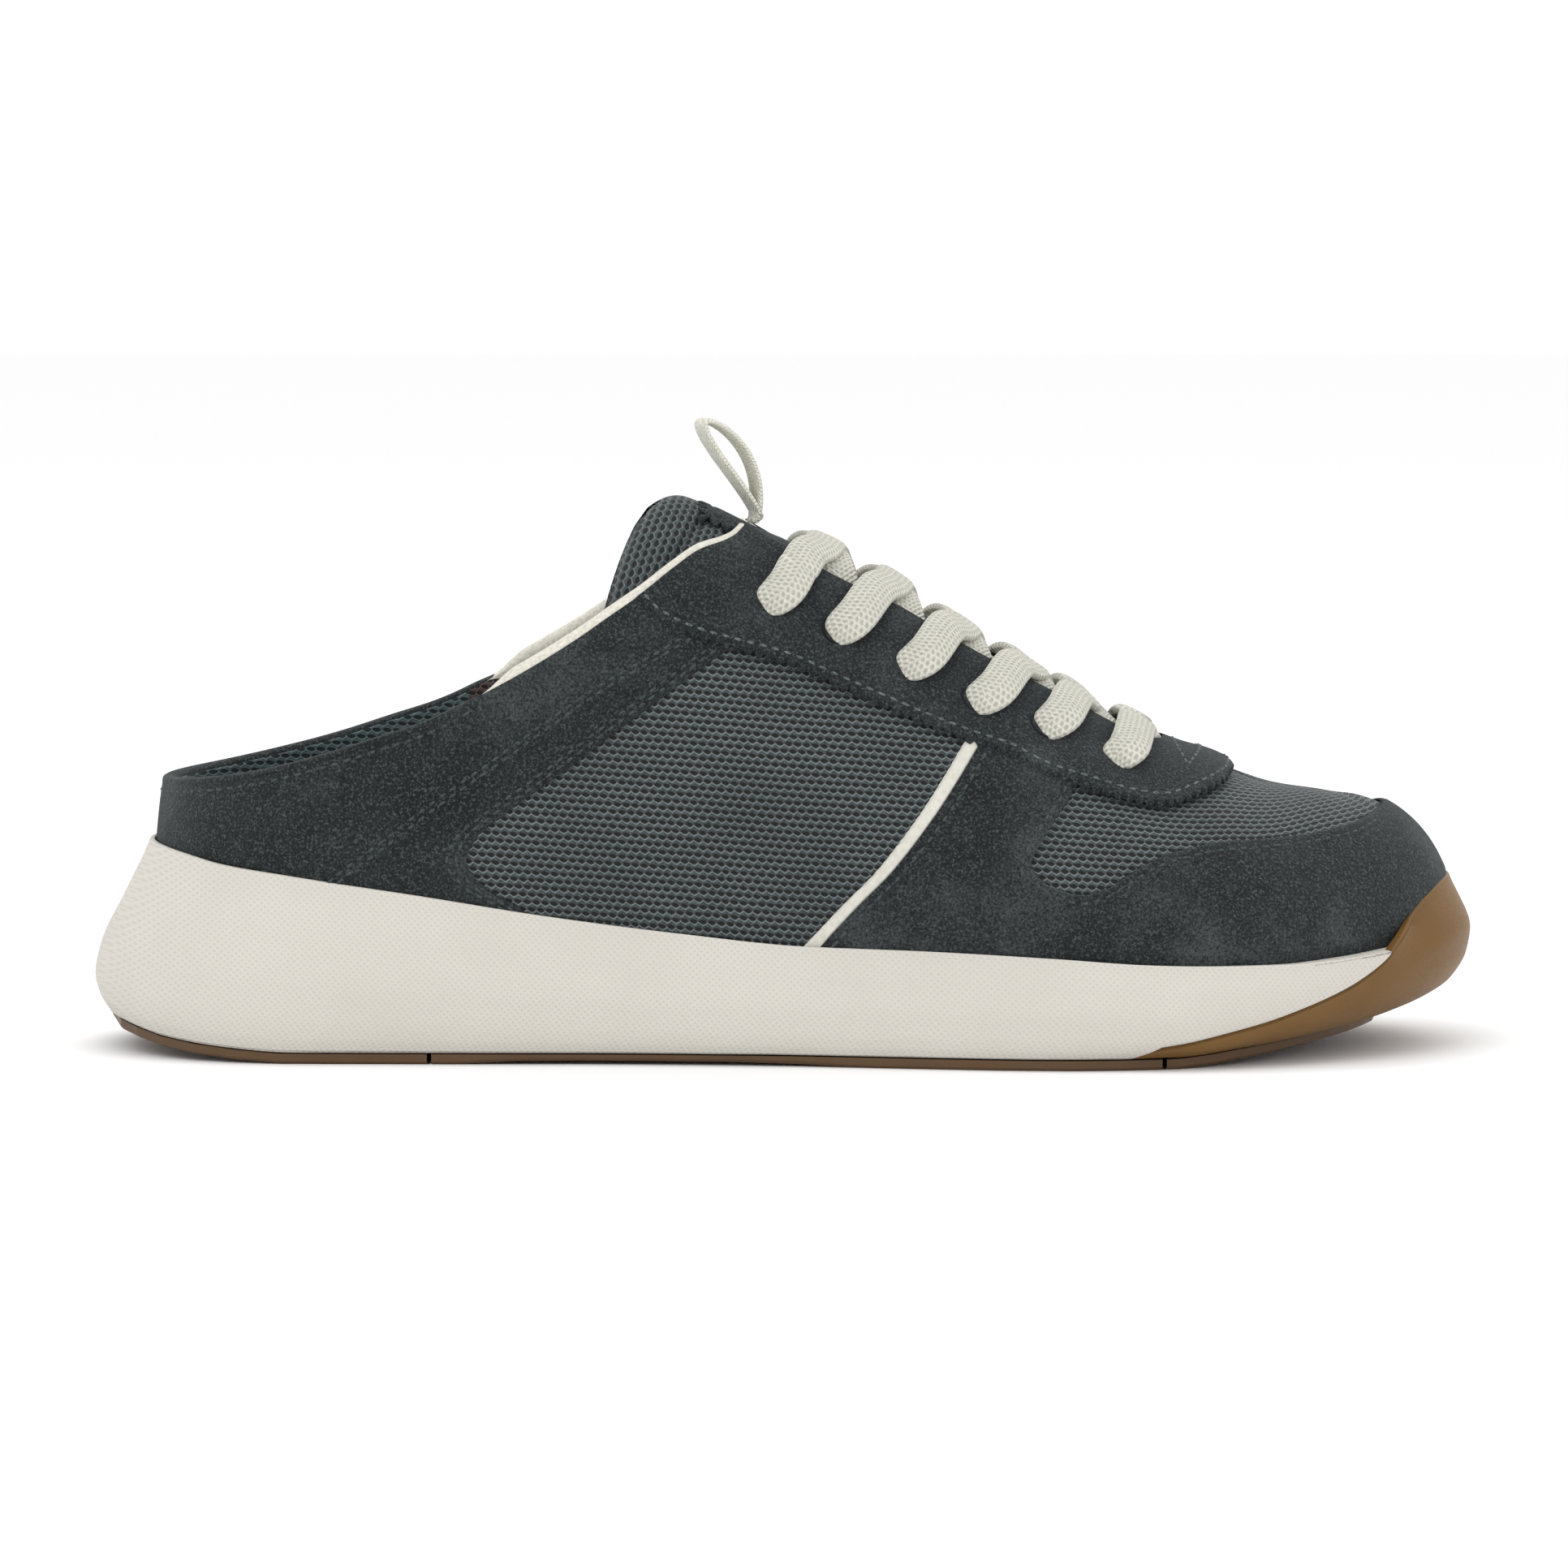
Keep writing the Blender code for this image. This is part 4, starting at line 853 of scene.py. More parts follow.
def padded_share(share):
    """Where the collar's lining is padded: from behind the piping up to the throat."""
    return smooth_step(BROWN_END - 0.02, BROWN_END + 0.03, share) * (1 - smooth_step(*AT_THROAT, share))


def make_upper(finishes):
    """One wall rolled over at the opening. Finishes: mesh outside, spacer, brown and ribbed lining inside."""
    shares = np.unique(np.concatenate([spread(0, 1, 180), np.linspace(0.30, 0.98, 130)]))
    rows = 64
    lining = np.select([shares[:-1] < SPACER_END, shares[:-1] < BROWN_END], [1, 2], default=3)
    grids, flats, slots = [], [], []
    for side in (LATERAL, MEDIAL):
        places = rib_grid(shares, side, np.zeros(len(shares)), opening(shares, side), rows)
        outer = over_last(places)
        arc = run_along(outer, axis=1)
        flat = np.stack([outer[..., 0], arc], axis=-1)
        near_edge = np.clip((arc[:, -1:] - arc) / PADDED_BAND, 0, 1)
        swell = PADDING * np.sin(near_edge * math.pi) ** 0.8 * padded_share(shares)[:, None]
        inner = over_last(places, -UPPER_WALL - swell)
        slot = np.zeros((len(shares) - 1, 2 * rows + 1), int)
        slot[:, rows + 1 :] = lining[:, None]
        slot[:, rows] = np.where(shares[:-1] > THROAT_END, 0, lining)
        grids.append(np.concatenate([outer, inner[:, ::-1]], axis=1))
        flats.append(np.concatenate([flat, flat[:, ::-1]], axis=1))
        slots.append(slot.ravel())
    item = joined_grids("upper_skin", grids, finishes, (True, False), 1e-6, flats, slots)
    dress(item, "mesh", "upper")


def seam_columns(side, back, front, count):
    """Columns of a side panel between two seams, from the sole line up to the top of the side."""
    rows = len(back)
    w = np.linspace(0, 1, count + 1)[:, None]
    x = lerp(back[None, :, 0], front[None, :, 0], w)
    z = lerp(back[None, :, 1], front[None, :, 1], w)
    below_by = sole_line(x[:, 0]) - z[:, 0]
    above_by = side_top(x[:, -1]) - z[:, -1]
    z = z + lerp(below_by[:, None], above_by[:, None], np.linspace(0, 1, rows)[None, :])
    return spot(x, z, side)


def seam_points(edge, rows):
    """X and Z up a slanted seam, from the sole line to the top of the side."""
    z = np.linspace(meets(edge, sole_line), meets(edge, side_top), rows + 1)
    return np.stack([edge(z), z], axis=-1)


def sole_line(x):
    """Where the overlays end, tucked behind the sole's rim."""
    return rim_line(x) - TUCK_DEPTH


def side_top(x):
    """Top of the rear panels: the collar, then a little way under the eyestay."""
    under = eyestay_line(x) + UNDERLAP
    return np.where(share_at(x) > EYESTAY_BACK, np.minimum(collar_line(x), under), collar_line(x))


def make_counter(finish):
    """Heel counter, wrapping the back of the shoe in one piece."""
    rows = 60
    grids, free = [], []
    front = seam_points(edge_from(COUNTER_SEAM), rows)
    heel = spread(0, COUNTER_START, 70)
    low = v_at_height(heel, rim(heel) - TUCK_DEPTH)
    for side in (LATERAL, MEDIAL):
        grid = rib_grid(heel, side, low, opening(heel, side), rows)
        last = rib(grid[-1, :, 0], grid[-1, :, 1], grid[-1, :, 2])
        grids += [grid, seam_columns(side, last[:, (0, 2)], front, 150)]
        free += [[], [LAST_ROW]]
    dress(panel("heel_counter_skin", grids, free, finish, SUEDE), "suede", "heel_counter")


def make_strip(name, side, finish, slot, back, front, rows, count, free, thick):
    """Slanting panel of one side between two seams."""
    grid = seam_columns(side, seam_points(back, rows), seam_points(front, rows), count)
    dress(panel(name + "_skin", [grid], [free], finish, thick), slot, name)


def make_quarter(name, side, finish):
    """Band in front of the counter, slanting up under the eyestay. Its rear edge lies under the counter's."""
    back, front = edge_from(COUNTER_SEAM, -0.002), edge_from(QUARTER_SEAM)
    make_strip(name, side, finish, "suede", back, front, 120, 40, [LAST_ROW], THIN_SUEDE)


def make_stripe(name, side, finish):
    """Narrow rounded strip across the side."""
    back, front = edge_from(STRIPE_SEAM), edge_from(STRIPE_SEAM, STRIPE_WIDTH * 1.25)
    make_strip(name, side, finish, "cream", back, front, 140, 14, [FIRST_ROW, LAST_ROW], SUEDE * 0.8)


def make_toe_panel(finish):
    """Panel from the stripe round the toe, open over the mesh of the vamp."""
    below_rows, beside_rows = 60, 40
    window_share, window_height = TOE_PANEL_EDGE[0]
    corner_z = INSTEP_HEIGHT * window_height
    window, start = edge_from(WINDOW_EDGE), edge_from(STRIPE_SEAM, STRIPE_WIDTH * 1.1)
    low, high = meets(window, sole_line), meets(window, side_top)
    below = np.linspace(low, corner_z, below_rows + 1)[:-1]
    levels = np.concatenate([below, np.linspace(corner_z, high, beside_rows + 1)])
    back_z = lerp(meets(start, sole_line), meets(start, side_top), (levels - low) / (high - low))
    back = np.stack([start(back_z), back_z], axis=-1)
    front = np.stack([window(levels), levels], axis=-1)
    x = x_at(np.linspace(window_share, TOE_FAN_START, 110)[1:])
    t = np.linspace(0, 1, below_rows + 1)[None, :]
    z = lerp(sole_line(x)[:, None], toe_panel_line(x)[:, None], t)
    grids, free = [], []
    for side in (LATERAL, MEDIAL):
        rear = seam_columns(side, back, front, 60)
        middle = spot(np.broadcast_to(x[:, None], z.shape), z, side)
        middle = np.concatenate([rear[-1:, : below_rows + 1], middle])
        fan = toe_fan(middle[-1], side, below_rows)
        grids += [rear[:, : below_rows + 1], rear[:, below_rows:], middle, fan]
        free += [[], [LAST_ROW], [LAST_COLUMN], [LAST_COLUMN]]
    dress(panel("toe_panel_skin", grids, free, finish, SUEDE), "suede", "toe_panel")


def toe_fan(first, side, rows):
    """Ribs of the toe panel from its last upright column round to the tip."""
    w = 1 - (1 - np.linspace(0, 1, 150)) ** 1.6
    foot, top = lerp(first[0, 0], 1.0, w), lerp(first[-1, 0], 1.0, w)
    low = v_at_height(foot, np.minimum(rim(foot) - TUCK_DEPTH, toe_low(foot)))
    high = v_at_line(top, side, toe_panel_line)
    t = np.linspace(0, 1, rows + 1)[None, :]
    share = lerp(foot[:, None], top[:, None], t)
    grid = stacked(share, side, lerp(low[:, None], high[:, None], t))
    grid[0] = first
    return grid


def toe_low(share):
    """Lowest height of the panel behind the bumper."""
    crest = lerp(wall_foot(share), rim(share), bumper_top(share))
    return np.where(share > BUMPER_FULL, crest - TUCK_DEPTH * 2, rim(share))


def pinked(along):
    """Small waves of a pinked edge, by the distance along it."""
    return PINK_DEPTH * (np.abs(np.sin(along * math.pi / PINK_PITCH)) - 0.5)


def make_eyestay(finish):
    """Suede facing round the throat, one piece over both sides, with a pinked lower edge."""
    w = np.linspace(0, 1, 620)
    x = x_at(lerp(EYESTAY_BACK, EYESTAY_FRONT, lerp(w, (1 - np.cos(math.pi * w)) / 2, 0.5)))
    step = 0.02
    grids = []
    for side in (LATERAL, MEDIAL):
        share, _, low = spot(x, eyestay_line(x), side).T
        line = rib(share, side, low)
        high = opening(share, side)
        rise = np.linalg.norm(rib(share, side, low + step) - line, axis=1)
        low = np.minimum(low - pinked(run_along(line)) * (step / np.maximum(rise, 1e-6)), high - 0.004)
        grids.append(rib_grid(share, side, low, high, 44))
    item = panel("eyestay_skin", grids, [[FIRST_COLUMN]] * 2, finish, SUEDE, lift=EYESTAY_LIFT)
    dress(item, "suede", "eyestay")


def outward_faces(item, viewer):
    """Turns an open sheet so that its face nearest to a place outside looks at it."""
    mesh = item.data
    centres = np.array([p.center for p in mesh.polygons])
    nearest = int(np.argmin(np.linalg.norm(centres - viewer, axis=1)))
    face = mesh.polygons[nearest]
    if np.dot(np.array(face.normal), viewer - centres[nearest]) < 0:
        mesh.flip_normals()


def fold(name, places, outer, inner, high, drop, finish, slot, *nodes):
    """Rolled edge over the wall of the upper, along a line of (share, side, v) places."""
    share, side, v = places.T
    outer, inner, high = (value[:, None] for value in same_shape(outer, inner, high, share)[:3])
    point = over_last(places)
    normal = last_normal(share, side, v)
    up = unit(rib(share, side, v) - rib(share, side, np.maximum(v - 0.02, 0.0)))
    middle, reach = (outer + inner) / 2, (outer - inner) / 2
    turns = 12
    rows = [point + normal * outer - up * drop]
    for i in range(turns + 1):
        a = math.pi * i / turns
        rows.append(point + normal * (middle + reach * math.cos(a)) + up * high * math.sin(a))
    rows.append(point + normal * inner - up * drop)
    band = np.stack(rows, axis=1)
    count, cols = band.shape[:2]
    flat = stacked(run_along(point)[:, None], np.linspace(0, 0.005, cols)[None, :])
    faces = grid_faces(count, cols, flip=side[0] < 0)
    item = new_mesh(name, band, faces, [finish], flat=flat, merge=1e-7)
    third = len(point) // 3
    outward_faces(item, point[third] + normal[third] * 0.01)
    dress(item, slot, *nodes)


def opening_places(shares, side):
    """Places along the edge of the foot opening."""
    return stacked(shares, side, opening(shares, side))


def make_edging(suede, cream):
    """Suede turned over the collar at the heel, and the cream piping from there round the throat."""
    shares = spread(0, BINDING_BACK + 0.004, 150)
    heel = np.concatenate([opening_places(shares, LATERAL)[::-1], opening_places(shares, MEDIAL)[1:]])
    full = 1 - smooth_step(BINDING_BACK - 0.03, BINDING_BACK + 0.004, heel[:, 0])
    outer = (SUEDE + 0.0001) * lerp(0.6, 1.0, full)
    fold("heel_edge", heel, outer, 0.0002 - UPPER_WALL, 0.0009 * full, 0.0006, suede, "suede")

    start_share, end_share = BINDING_BACK - 0.012, THROAT_END - 0.0015
    shares = np.concatenate([
        np.linspace(start_share, end_share, 420),
        np.linspace(THROAT_END - 0.012, end_share, 30),
    ])
    shares = np.sort(shares)
    places = np.concatenate([opening_places(shares, LATERAL), opening_places(shares, MEDIAL)[::-1]])
    share = places[:, 0]
    start = smooth_step(start_share, BINDING_BACK + 0.02, share)
    slim = 1 - 0.55 * smooth_step(*AT_THROAT, share)
    inner = -UPPER_WALL - 0.0009 * start * slim
    width = PIPING * start * slim
    fold("piping", places, SUEDE * 0.84, inner, width, 0.0011, cream, "cream", "collar_binding")


def smoothed(points, count):
    """Even points on a smooth curve through a few."""
    points = np.asarray(points, float)
    ends = np.concatenate([[2 * points[0] - points[1]], points, [2 * points[-1] - points[-2]]])
    line = []
    for i in range(len(points) - 1):
        a, b, c, d = ends[i : i + 4]
        for t in np.linspace(0, 1, 24, endpoint=False):
            square, cube = (2 * a - 5 * b + 4 * c - d) * t**2, (3 * b - a - 3 * c + d) * t**3
            line.append(0.5 * (2 * b + (c - a) * t + square + cube))
    return resampled(np.array([*line, points[-1]]), count)


def super_round(turn, power):
    """Cosine of a turn, drawn towards the corners of a square by a power under 1."""
    return np.sign(np.cos(turn)) * np.abs(np.cos(turn)) ** power * 0.5


def tape(name, path, up, width, thick, finish, nodes, around=20, cushion=0.62):
    """Flat band with rounded edges, swept along a path, with its cloth laid out along and round it."""
    ahead = np.concatenate([path[1:], path[-1:]])
    back = np.concatenate([path[:1], path[:-1]])
    along = unit(ahead - back)
    across = unit(np.cross(along, up))
    rise = unit(np.cross(across, along))
    turn = np.linspace(0, 2 * math.pi, around, endpoint=False)
    a, b = super_round(turn, cushion), super_round(turn - math.pi / 2, 0.9)
    width, thick = same_shape(width, thick, np.zeros(len(path)))[:2]
    band = (
        path[:, None]
        + across[:, None] * a[None, :, None] * width[:, None, None]
        + rise[:, None] * b[None, :, None] * thick[:, None, None]
    )
    flat = stacked(run_along(path)[:, None], (a * float(np.mean(width)))[None, :])
    dress(closed_body(name, band, finish, capped=True, flat=flat), "cream", *nodes)


def eyelet_place(row, side):
    """X and Y of an eyelet, at its height on the instep."""
    share = lerp(EYELET_FIRST, EYELET_LAST, row / (EYELET_ROWS - 1))
    y = np.linspace(0, BALL_WIDTH * 0.45, 400)
    points, _ = over_instep(x_at(share), -y, 0.0)
    height = INSTEP_HEIGHT * read(EYELET_LINE, 1, share)
    return x_at(share), side * float(np.interp(-height, -points[:, 2], y))


def slope_table():
    """Arc length down from the ridge, for every X and every distance off the centre line."""
    x = np.linspace(x_at(0.40), x_at(0.80), 90)
    y = np.linspace(0, 0.046, 120)
    arcs = []
    for side in (LATERAL, MEDIAL):
        points, _ = over_instep(x[:, None], side * y[None, :], 0.0)
        arcs.append(run_along(points, axis=1))
    return x, y, arcs


def down(x, arc, table):
    """Signed distance off the centre line at an X, for a signed arc length down from the ridge."""
    columns, y, arcs = table
    found = []
    for one_x, one_arc in zip(*same_shape(x, arc)):
        rows = arcs[0] if one_arc < 0 else arcs[1]
        at = np.clip((one_x - columns[0]) / (columns[1] - columns[0]), 0, len(columns) - 1.001)
        i = int(at)
        profile = lerp(rows[i], rows[i + 1], at - i)
        found.append(math.copysign(float(np.interp(abs(one_arc), profile, y)), one_arc))
    return np.array(found)


def arc_of(x, y, table):
    """Arc length down from the ridge to a point off the centre line, on its side."""
    columns, distances, arcs = table
    rows = arcs[0] if y < 0 else arcs[1]
    i = int(np.clip((x - columns[0]) / (columns[1] - columns[0]), 0, len(columns) - 1))
    return float(np.interp(abs(y), distances, rows[i]))


def lace_line(row, side, table):
    """A lace from below its eyelet, over the edge, across the tongue and under the other edge.

    Each place is an X, an arc length down from the ridge, negative beyond it, and a height over the last.
    """
    bar = row == EYELET_ROWS - 1
    x, y = eyelet_place(row, side)
    ahead_x, ahead_y = eyelet_place(row if bar else row + 1, -side)
    start, end = arc_of(x, y, table), arc_of(ahead_x, ahead_y, table)
    pitch = (EYELET_LAST - EYELET_FIRST) / (EYELET_ROWS - 1) * LENGTH
    edge = arc_of(x + pitch / 2, float(throat_half(x + pitch / 2)), table)
    run = pitch * (LACE_RUN_BAR if bar else LACE_RUN_FRONT if row == EYELET_ROWS - 2 else LACE_RUN)
    rest = min(edge * 1.02 / start, 0.72)
    path = [
        (x - 0.0004, start + 0.0002, -0.0046),
        (x - 0.0012, start + 0.0012, -0.0010),
        (x - 0.0010, start + 0.0010, 0.0019),
        (x + run * 0.22, start * 0.88, LACE_LIFT + 0.0009),
        (x + run * 0.55, start * rest, LACE_LIFT + 0.0004),
        (x + run * 0.86, start * rest * 0.55, LACE_LIFT - LACE_DIP * 0.42),
    ]
    if bar:
        mirrored = [(place_x, -arc, height) for place_x, arc, height in path[::-1]]
        path += [(x + run, 0.0, LACE_LIFT - LACE_DIP * 0.8), *mirrored]
    else:
        over = LACE_LIFT - LACE_DIP + (LACE_OVER if side == LATERAL else 0.0)
        path += [
            (x + run, 0.0, over + 0.0002),
            (lerp(x + run, x + pitch, 0.45), -edge * 0.50, LACE_LIFT - LACE_DIP * 0.9),
            (x + pitch, -edge * 0.95, -0.0006),
            (ahead_x + 0.001, -lerp(edge, end, 0.55), -0.0034),
            (ahead_x, -end, -0.0040),
        ]
    line = smoothed(path, 170)
    line[:, 1] = down(line[:, 0], line[:, 1] * side, table)
    return line


def round_end(t):
    """Growth of a lace's width from its hole, as a round end."""
    return round_off(np.clip((t - 0.08) / 0.10, 0, 1))


def lace_rise(path, up):
    """Upward direction of a lace, kept from turning over where it dips into its eyelets."""
    along = unit(np.gradient(path, axis=0))
    flat = along - up * np.sum(along * up, axis=1, keepdims=True)
    across = unit(np.cross(flat, up))
    hold = len(path) // 7
    across[:hold] = across[hold]
    across[-hold:] = across[-hold - 1]
    return unit(np.cross(across, along))


def make_lace(name, node, row, side, table, finish):
    """One run of the lace, narrow in its holes and squeezed where it slips under the far edge."""
    line = lace_line(row, side, table)
    path, up = over_instep(line[:, 0], line[:, 1], line[:, 2])
    t = np.linspace(0, 1, len(path))
    start = round_end(t)
    if row == EYELET_ROWS - 1:
        end, squeezed = lerp(0.45, 1.0, round_end(1 - t)), 0.0
    else:
        end, squeezed = 1 - 0.35 * smooth_step(0.75, 0.95, t), 0.45 * smooth_step(0.74, 0.86, t)
    wide = LACE_WIDTH * lerp(0.45, 1.0, start) * end
    thick = LACE_THICKNESS * lerp(1.25, 1.06, start) * (1 - squeezed)
    tape(name, path, lace_rise(path, up), wide, thick, finish, [node], 28)


def make_laces(finish):
    """Each run of the lace, through its eyelets; the runs of a row stand for the solid that joins them."""
    table = slope_table()
    for row in range(EYELET_ROWS - 1):
        for label, side in (("lateral", LATERAL), ("medial", MEDIAL)):
            make_lace(f"lace_{row + 1}_{label}", f"lace_cross_{row + 1}", row, side, table, finish)
    make_lace("lace_bar_run", "lace_bar", EYELET_ROWS - 1, LATERAL, table, finish)


def make_holes(finish):
    """Punched hole behind the lower end of each lace, its inside a dark disc of painted shade."""
    table = slope_table()
    turn = np.linspace(0, 2 * math.pi, 25)
    grids, flips = [], []
    for row in range(EYELET_ROWS):
        for side in (LATERAL, MEDIAL):
            x, y = eyelet_place(row, side)
            arc = arc_of(x, y, table)
            rows = []
            for radius, height in HOLE_RINGS:
                ring_x = x - 0.0016 + radius * np.cos(turn)
                ring_y = down(ring_x, side * (arc + 0.0012 + radius * np.sin(turn)), table)
                rows.append(over_instep(ring_x, ring_y, SUEDE + EYESTAY_LIFT + height)[0])
            grids.append(np.stack(rows))
            flips.append(turned_in(grids[-1], over_instep(x, y, 0.0)[1]))
    dress(joined_grids("eyelet_holes", grids, [finish], flips), "suede")


def make_tongue(finish):
    """Padded tongue with a rolled rim behind a sewn channel."""
    front_x = x_at(THROAT_END) + 0.006
    along, across = 170, 110
    t = (np.linspace(0, 1, along + 1) ** 0.8)[:, None]
    b = np.sin(np.linspace(-math.pi / 2, math.pi / 2, across + 1))[None, :]
    back_x = front_x - TONGUE_LENGTH * (0.905 + 0.095 * np.abs(b) ** 1.3 * 1.5)
    half = TONGUE_HALF * lerp(0.50, 1.0, smooth_step(0, 0.9, t))
    x, y = same_shape(lerp(front_x, back_x, t), b * half)
    seat = -UPPER_WALL - TONGUE_CLEARANCE
    base, _ = over_instep(x, y, seat)
    away = distance_to(base, [base[-1], base[:, 0], base[:, -1]])
    from_top = distance_to(base, [base[-1]])
    rounded = round_off(np.clip(away / (TONGUE_PAD * 0.55), 0, 1))
    groove = np.exp(-(((from_top - TONGUE_RIM) / 0.0011) ** 2)) * smooth_step(0.003, 0.006, away)
    puff = np.sin(np.clip(from_top / TONGUE_RIM, 0, 1) * math.pi) * 0.0007
    hump = TONGUE_HUMP * np.exp(-(((x - HUMP_X) / 0.007) ** 2)) * np.exp(-((y / 0.009) ** 2))
    raised = puff + hump - groove * 0.0013 - TONGUE_PAD * 0.5 * (1 - rounded)
    outer, normal = over_instep(x, y, seat + raised)
    fallen = TONGUE_PAD * (0.5 + 0.5 * rounded) + puff * 0.5 - groove * 0.0006
    inner, _ = over_instep(x, y, seat - fallen)
    up = run_along(base, axis=1)
    middle = across // 2
    flat = np.stack([up - up[:, middle : middle + 1], run_along(base)], axis=-1)
    facing = normal[along // 2, middle]
    flips = (turned_in(outer, facing), turned_in(inner, -facing))
    item = joined_grids("tongue_pad", [outer, inner], [finish], flips, 4e-5, [flat, flat])
    dress(item, "mesh", "tongue")


def ragged(along, across, wave):
    """Shift of a pinked patch edge, felt only close to the edge that it belongs to."""
    return np.sign(along) * np.abs(along) ** 12 * pinked(across + wave) * 1.6


def make_patch(finish):
    """Suede patch under the pull loop, with pinked edges."""
    count = 150
    x0, x1 = x_at(PATCH_SPAN[0]) - 0.003, x_at(PATCH_SPAN[1]) + 0.002
    half_x, half_y = (x1 - x0) / 2, THROAT_HALF * 0.60
    u = np.linspace(-1, 1, count)[:, None]
    w = np.linspace(-1, 1, count)[None, :]
    x = (x0 + x1) / 2 + u * half_x + ragged(u, w * half_y, 0.001)
    y = w * half_y + ragged(w, u * half_x, 0.0) + PATCH_BULGE * np.sign(w) * np.abs(w) ** 8
    x, y = same_shape(x, y)
    lift = GAP - UPPER_WALL - TONGUE_CLEARANCE
    base, normal = over_instep(x, y, lift)
    away = distance_to(base, [base[0], base[-1], base[:, 0], base[:, -1]])
    stitched = 0.00022 * np.exp(-(((away - 0.0016) / 0.0005) ** 2))
    height = PATCH * 1.15 * round_off(np.clip(away / EDGE_RADIUS, 0, 1)) - stitched
    points, _ = over_instep(x, y, lift - SINK + height)
    flips = [turned_in(points, normal[count // 2, count // 2])]
    dress(joined_grids("patch_skin", [points], [finish], flips), "suede", "tongue_patch")


def loop_path(count=150):
    """Middle line of the pull loop's tape, from its seat up, round and back."""
    turn = 2 * math.pi * np.arange(count) / count
    reach = np.sin(turn) * np.abs(np.sin(turn / 2)) ** 1.4
    high = (1 - np.cos(turn)) / 2
    outline = np.stack([-LOOP_REACH * high**1.6 + LOOP_REACH * 0.5 * reach, LOOP_HEIGHT * high], axis=-1)
    along = np.roll(outline, -1, axis=0) - np.roll(outline, 1, axis=0)
    inward = unit(np.stack([-along[:, 1], along[:, 0]], axis=-1))
    toward = np.sum(inward * (outline.mean(axis=0) - outline), axis=1, keepdims=True)
    return outline + np.where(toward < 0, -inward, inward) * LOOP_TAPE / 2


def make_loop(finish):
    """Woven tape bent to a teardrop and sewn to the patch."""
    lift = GAP * 2 + PATCH - UPPER_WALL - TONGUE_CLEARANCE + SEAM
    seat, _ = over_instep(x_at(LOOP_SEAT), 0.0, lift)
    turn = math.radians(LOOP_TURN)
    ahead = np.array([math.cos(turn), math.sin(turn), 0.0])
    side = np.array([-math.sin(turn), math.cos(turn), 0.0])
    outline = loop_path()[2:-1]
    path = seat + outline[:, :1] * ahead + outline[:, 1:] * np.array([0, 0, 1.0])
    up = np.cross(side, unit(np.gradient(path, axis=0)))
    t = np.linspace(0, 1, len(path))
    width = LOOP_WIDTH * lerp(0.72, 1.0, smooth_step(0, 0.12, np.minimum(t, t[::-1])))
    tape("pull_loop_tape", path, up, width, LOOP_TAPE, finish, ["pull_loop"], cushion=0.45)


def make_insole(finish):
    """Footbed, dished at the heel and rounded at its edge."""
    shares = spread(0.0, 1.0, 160)
    flat_count = 46
    rounding, edge_rise = np.array([1.0, 0.996, 0.985, 0.965]), np.array([0.45, 0.74, 0.92, 1.0])
    middle = np.cos(np.linspace(0.27, math.pi - 0.27, flat_count))
    cols = np.concatenate([rounding, middle, -rounding[::-1]])
    rise = np.concatenate([edge_rise, np.ones(flat_count), edge_rise[::-1]])
    drawn = inside(UPPER_WALL + INSOLE_FIT)
    left, right = plan(shares, LATERAL, *drawn), plan(shares, MEDIAL, *drawn)
    y = lerp(right[1][:, None], left[1][:, None], ((1 - cols) / 2)[None, :])
    x = np.broadcast_to(right[0][:, None], y.shape)
    dish = 0.0012 * (1 - cols**2)[None, :] * (1 - smooth_step(0.25, 0.5, shares))[:, None]
    points = stacked(x, y, (floor_height(shares) + GAP)[:, None] + INSOLE * rise[None, :] - dish)
    flips = [turned_in(points, np.array([0, 0, 1.0]))]
    item = joined_grids("footbed", [points], [finish], flips, 1e-6, [points[..., :2]])
    dress(item, "footbed", "insole")


def stitch_row(places, offset):
    """Vertices and faces of short thread ends along a line of places on the last."""
    base = over_last(places, offset)
    normal = last_normal(*places.T)
    arc = run_along(base)
    vertices, faces = [], []

    def along(values, where):
        return np.stack([np.interp(where, arc, values[:, i]) for i in range(3)], axis=-1)

    for where in np.arange(STITCH_PITCH * 0.4, arc[-1] - STITCH_PITCH * 0.4, STITCH_PITCH):
        steps = where + np.array(STITCH_STEPS) * STITCH_LENGTH
        points, ups = along(base, steps), unit(along(normal, steps))
        direction = unit(points[-1] - points[0])
        first = len(vertices)
        for point, up, low, broad in zip(points, ups, STITCH_LIFTS, STITCH_WIDTHS):
            across = np.cross(direction, up)
            for k in range(6):
                a = math.pi / 3 * k
                ring = (across * math.cos(a) + up * math.sin(a)) * broad
                vertices.append(point + (up * low + ring) * THREAD_RADIUS)
        faces += grid_faces(len(STITCH_STEPS), 6, first, closed=True)
    return vertices, faces


def make_stitches(name, lines, finish):
    vertices, faces = [], []
    for places, offset in lines:
        some, joined = stitch_row(places, offset)
        start = len(vertices)
        faces += [tuple(i + start for i in face) for face in joined]
        vertices += some
    item = new_mesh(name, np.array(vertices), faces, [finish])
    turn_out(item)
    dress(item, "suede")


def look(name, roughness, sheen=0.0, specular=0.5):
    """Material with its constants on the shader, and a small kit to wire the rest."""
    made = bpy.data.materials.new(name)
    made.use_nodes = True
    shader = made.node_tree.nodes["Principled BSDF"]
    shader.inputs["Roughness"].default_value = roughness
    shader.inputs["Sheen Weight"].default_value = sheen
    shader.inputs["Specular IOR Level"].default_value = specular
    return made, Wires(made.node_tree, shader)


